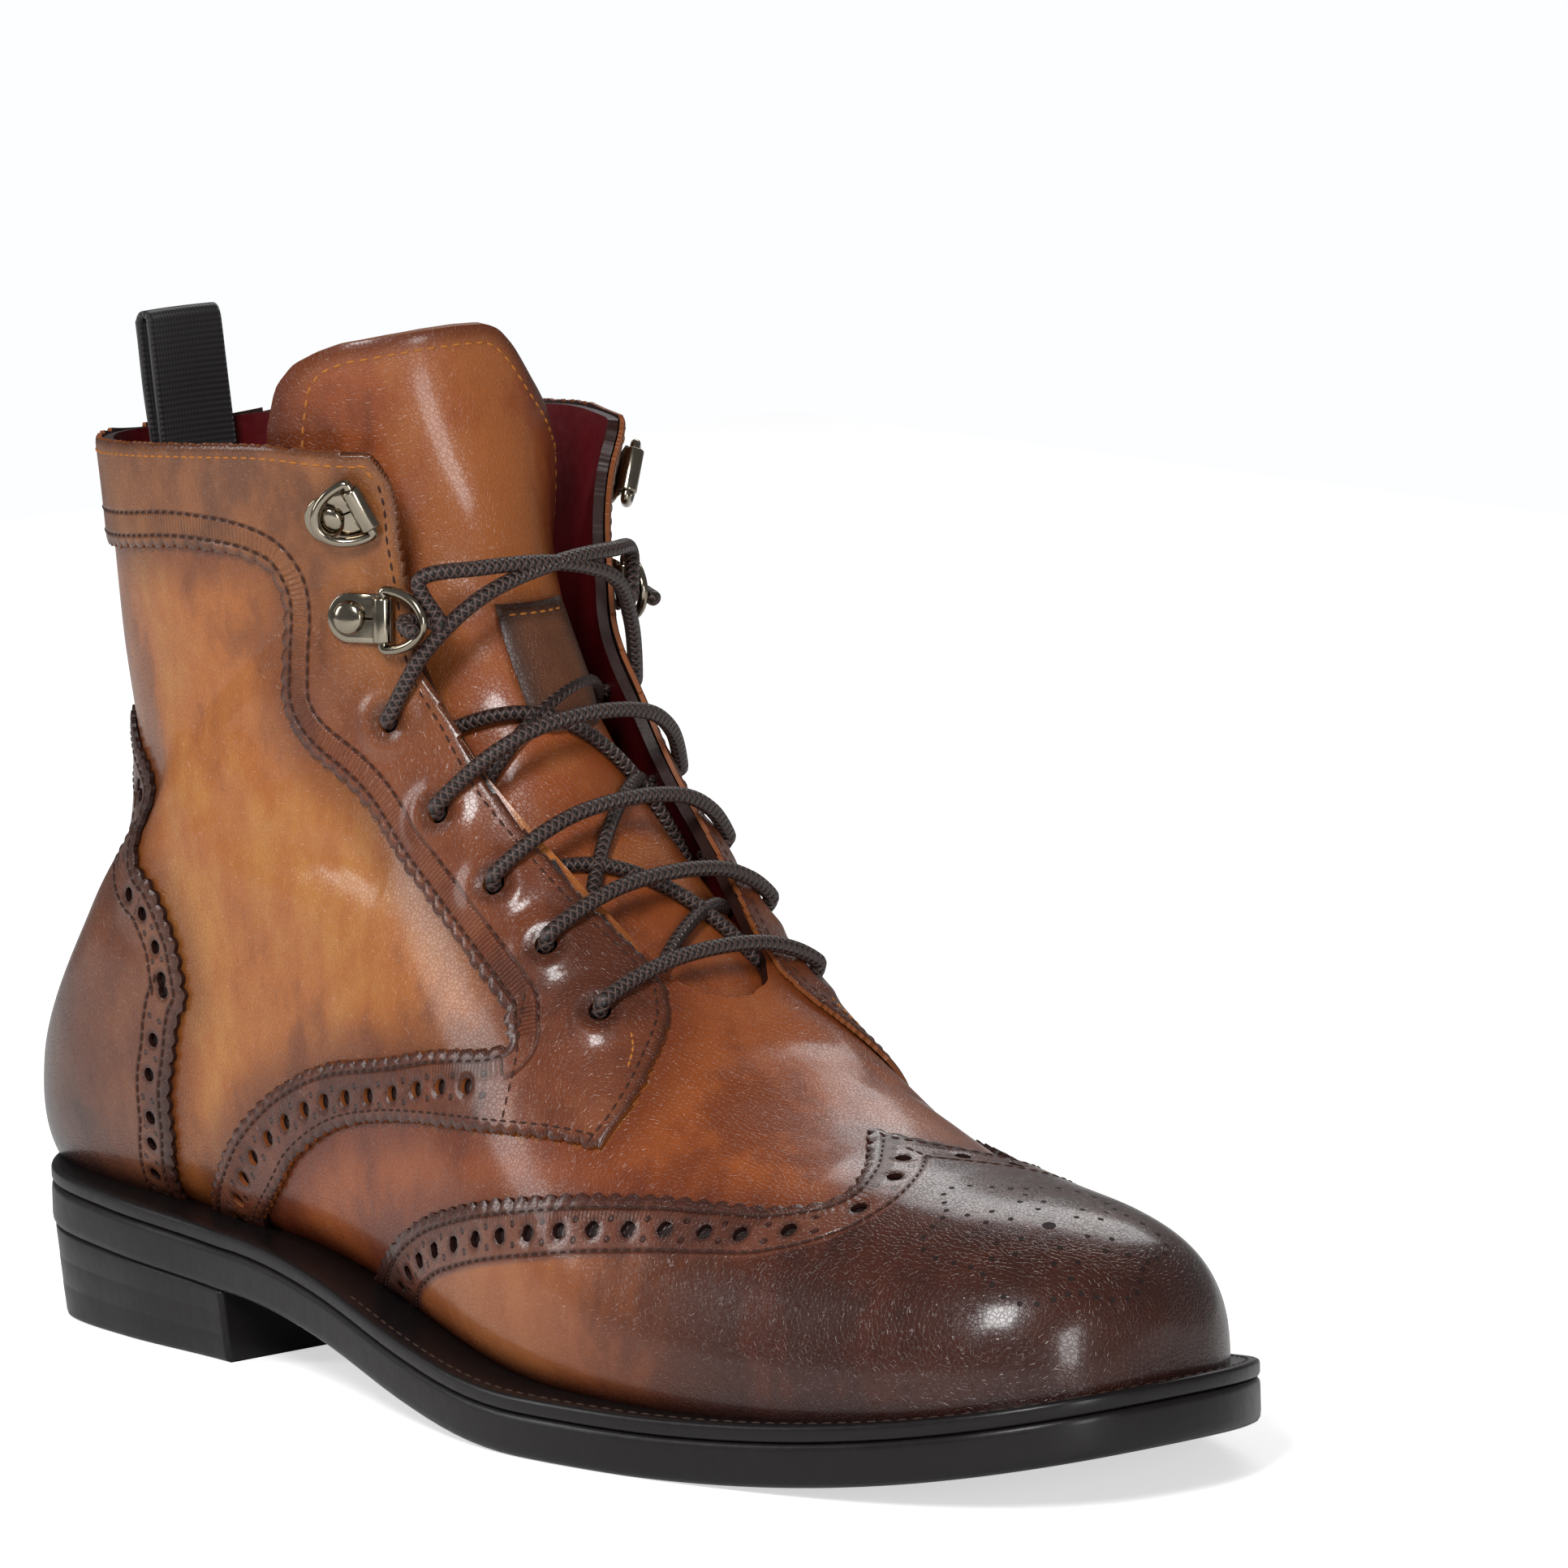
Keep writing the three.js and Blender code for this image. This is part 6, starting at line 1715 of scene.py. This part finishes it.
for side, name in ((-1, "lateral"), (1, "medial")):
    make_fitting(f"upper_{name}", UPPER_RING, side, UPPER_TWIST, UPPER_ANGLE)
    make_fitting(f"laced_{name}", LACED_RING, side, 0.0, LACED_ANGLE)


# Laces: bends as distances in the frames of the holes and the rings, bars and the crossing
# as places on the form
HOLE_BEND = [(0, -FACE - 2.2), (0, -FACE), (0, 0.1), (0.75, 1.45), (2.3, LACE_RISE - FACE)]
BAR_SHARES = [0.18, 0.34, 0.5, 0.66, 0.82]
CROSS_ROWS = [(11.00, 2.620, 3.7), (11.35, 2.880, 3.8), (11.60, 3.1416, 3.9),
              (11.85, 3.400, 4.2), (12.15, 3.640, 4.9)]
RING_DIP = [(10.8, 3.1), (8.6, 2.9), (6.4, 1.6), (5.3, -0.3)]
RING_BACK = [(6.2, -0.8, -1.6), (8.4, -1.6, -2.4)]


def out_of_hole(row, side):
    """Points of a lace that comes up out of a hole and bends over the facing."""
    f = surface_frame(row, side)
    return [in_frame(f, a, 0, o) for a, o in HOLE_BEND]


def place_over(section, turn, rise):
    """Point over the form by a rise, with turns past the ridge counted on."""
    turn = turn - 2 * np.pi if turn > np.pi else turn
    return form(section, turn) + form_normal(section, turn) * rise


def route(points):
    """Smooth path through the points of a lace."""
    return open_curve(np.array(points), 14 * len(points))


def make_laces():
    """Four straight bars over the tongue and the two strands that cross to the lower rings."""
    for k, row in enumerate(HOLES[:-1]):
        section, turn = row
        reach = 2 * (np.pi - turn)
        over = []
        for share in BAR_SHARES:
            around = turn + reach * share
            over.append(place_over(section, 2 * np.pi - around if around > np.pi else -around,
                                   LACE_RISE))
        path = route(out_of_hole(row, -1) + over + out_of_hole(row, 1)[::-1])
        piece = tube(f"lace_row_{k + 1}", path, LACE_RADIUS, [lace_wax], 16)
        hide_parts(f"lace_bar_{k + 1}")
    for side, name in ((-1, "lateral"), (1, "medial")):
        over = [place_over(s, turn if side > 0 else 2 * np.pi - turn, rise)
                for s, turn, rise in CROSS_ROWS]
        ring = ring_frame(upright_frame(LACED_RING, -side, 0), LACED_ANGLE, -side)
        dip = [in_frame(ring, a, 0, o) for a, o in RING_DIP]
        back = [in_frame(ring, a, b, o) for a, b, o in RING_BACK]
        path = route(out_of_hole(HOLES[-1], side) + over + dip + back)
        piece = tube(f"lace_strand_{name}", path, LACE_RADIUS, [lace_wax], 16)
        if side < 0:
            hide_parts("lace_cross")


def make_under_laces():
    """Slanting runs under the facings: straight in width and section over the tongue's skin."""
    for k, (a, b, side) in enumerate(((0, 1, -1), (0, 2, 1), (1, 3, -1), (2, 4, 1), (3, 4, -1))):
        f = np.linspace(0, 1, 40)
        t = HOLES[a][0] + (HOLES[b][0] - HOLES[a][0]) * f
        half = np.interp(t, THROAT[:, 0], THROAT[:, 1] * BALL_WIDTH) + 2.5
        across = side * half * (1 - 2 * f)
        p, n = tongue_place(across, t)
        lift = LINING + LACE_RADIUS * (0.9 - 0.9 * np.abs(1 - 2 * f) ** 4) + 0.1
        tube(f"lace_under_{k + 1}", p + n * lift[:, None], LACE_RADIUS * 0.95, [lace_wax], 14)


make_laces()
make_under_laces()

# The insole's solid stays and takes a leather finish
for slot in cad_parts["insole"].material_slots:
    slot.material = insole_tan


# Floor, light and camera

def make_stage():
    """Pale floor and plain studio light around, both brighter in the camera's own view."""
    p = np.array([[-900, -1000, 0], [1200, -1000, 0], [1200, 900, 0], [-900, 900, 0]])
    m, t, s = tree_of("pale floor")
    s.inputs["Base Color"].default_value = (0.94, 0.94, 0.935, 1)
    s.inputs["Roughness"].default_value = 0.7
    s.inputs["Emission Color"].default_value = (1, 1, 1, 1)
    seen = node(t, "ShaderNodeLightPath").outputs["Is Camera Ray"]
    t.links.new(maths(t, "MULTIPLY_ADD", seen, 0.55, 0.05), s.inputs["Emission Strength"])
    mesh = bpy.data.meshes.new("floor")
    mesh.from_pydata((p * MM).tolist(), [], [(0, 1, 2, 3)])
    mesh.materials.append(m)
    floor = bpy.data.objects.new("floor", mesh)
    bpy.context.scene.collection.objects.link(floor)
    world = bpy.data.worlds.new("studio")
    bpy.context.scene.world = world
    world.use_nodes = True
    tree = world.node_tree
    seen = node(tree, "ShaderNodeLightPath").outputs["Is Camera Ray"]
    back = tree.nodes["Background"]
    back.inputs[0].default_value = (0.98, 0.99, 1.0, 1)
    tree.links.new(maths(tree, "MULTIPLY_ADD", seen, 0.84, 0.16), back.inputs[1])
    bpy.context.scene.view_settings.view_transform = "Standard"


def soft_light(name, place, target, size, watts):
    """Soft box of a size in metres at a place, turned to a target, both in millimetres."""
    light = bpy.data.lights.new(name, "AREA")
    light.shape = "RECTANGLE"
    light.size, light.size_y = size
    light.energy = watts
    lamp = bpy.data.objects.new(name, light)
    place, target = np.array(place, float), np.array(target, float)
    back = unit(place - target)
    right = unit(np.cross([0.0, 0.0, 1.0], back))
    up = np.cross(back, right)
    m = np.eye(4)
    m[:3, 0], m[:3, 1], m[:3, 2], m[:3, 3] = right, up, back, place * MM
    lamp.matrix_world = Matrix(m.tolist())
    bpy.context.scene.collection.objects.link(lamp)


def make_camera():
    """The photograph's view: azimuth 50, elevation 9.31 and roll -1.5 degrees."""
    az, el, roll = np.radians([50.0, 9.31, -1.5])
    back = np.array([np.sin(az) * np.cos(el), -np.cos(az) * np.cos(el), np.sin(el)])
    right = np.array([np.cos(az), np.sin(az), 0.0])
    up = np.cross(back, right)
    rr = np.cos(roll) * right + np.sin(roll) * up
    uu = -np.sin(roll) * right + np.cos(roll) * up
    place = np.array([110.0, 0.0, 90.0]) + 35.89 * rr + 24.77 * uu + 2600.0 * back
    data = bpy.data.cameras.new("view")
    data.lens, data.sensor_width = 318.4, 36.0
    data.clip_end = 100
    camera = bpy.data.objects.new("view", data)
    m = np.eye(4)
    m[:3, 0], m[:3, 1], m[:3, 2], m[:3, 3] = rr, uu, back, place * MM
    camera.matrix_world = Matrix(m.tolist())
    bpy.context.scene.collection.objects.link(camera)
    bpy.context.scene.camera = camera


make_stage()
soft_light("key", (700, -900, 900), (100, 0, 80), (0.30, 0.44), 12.5)
soft_light("side", (-700, -900, 500), (60, 0, 80), (0.35, 0.55), 4.0)
soft_light("front", (1300, -300, 260), (200, 0, 60), (0.25, 0.4), 3.6)
soft_light("rim", (-500, 900, 900), (60, 0, 120), (0.8, 0.5), 4.5)
make_camera()
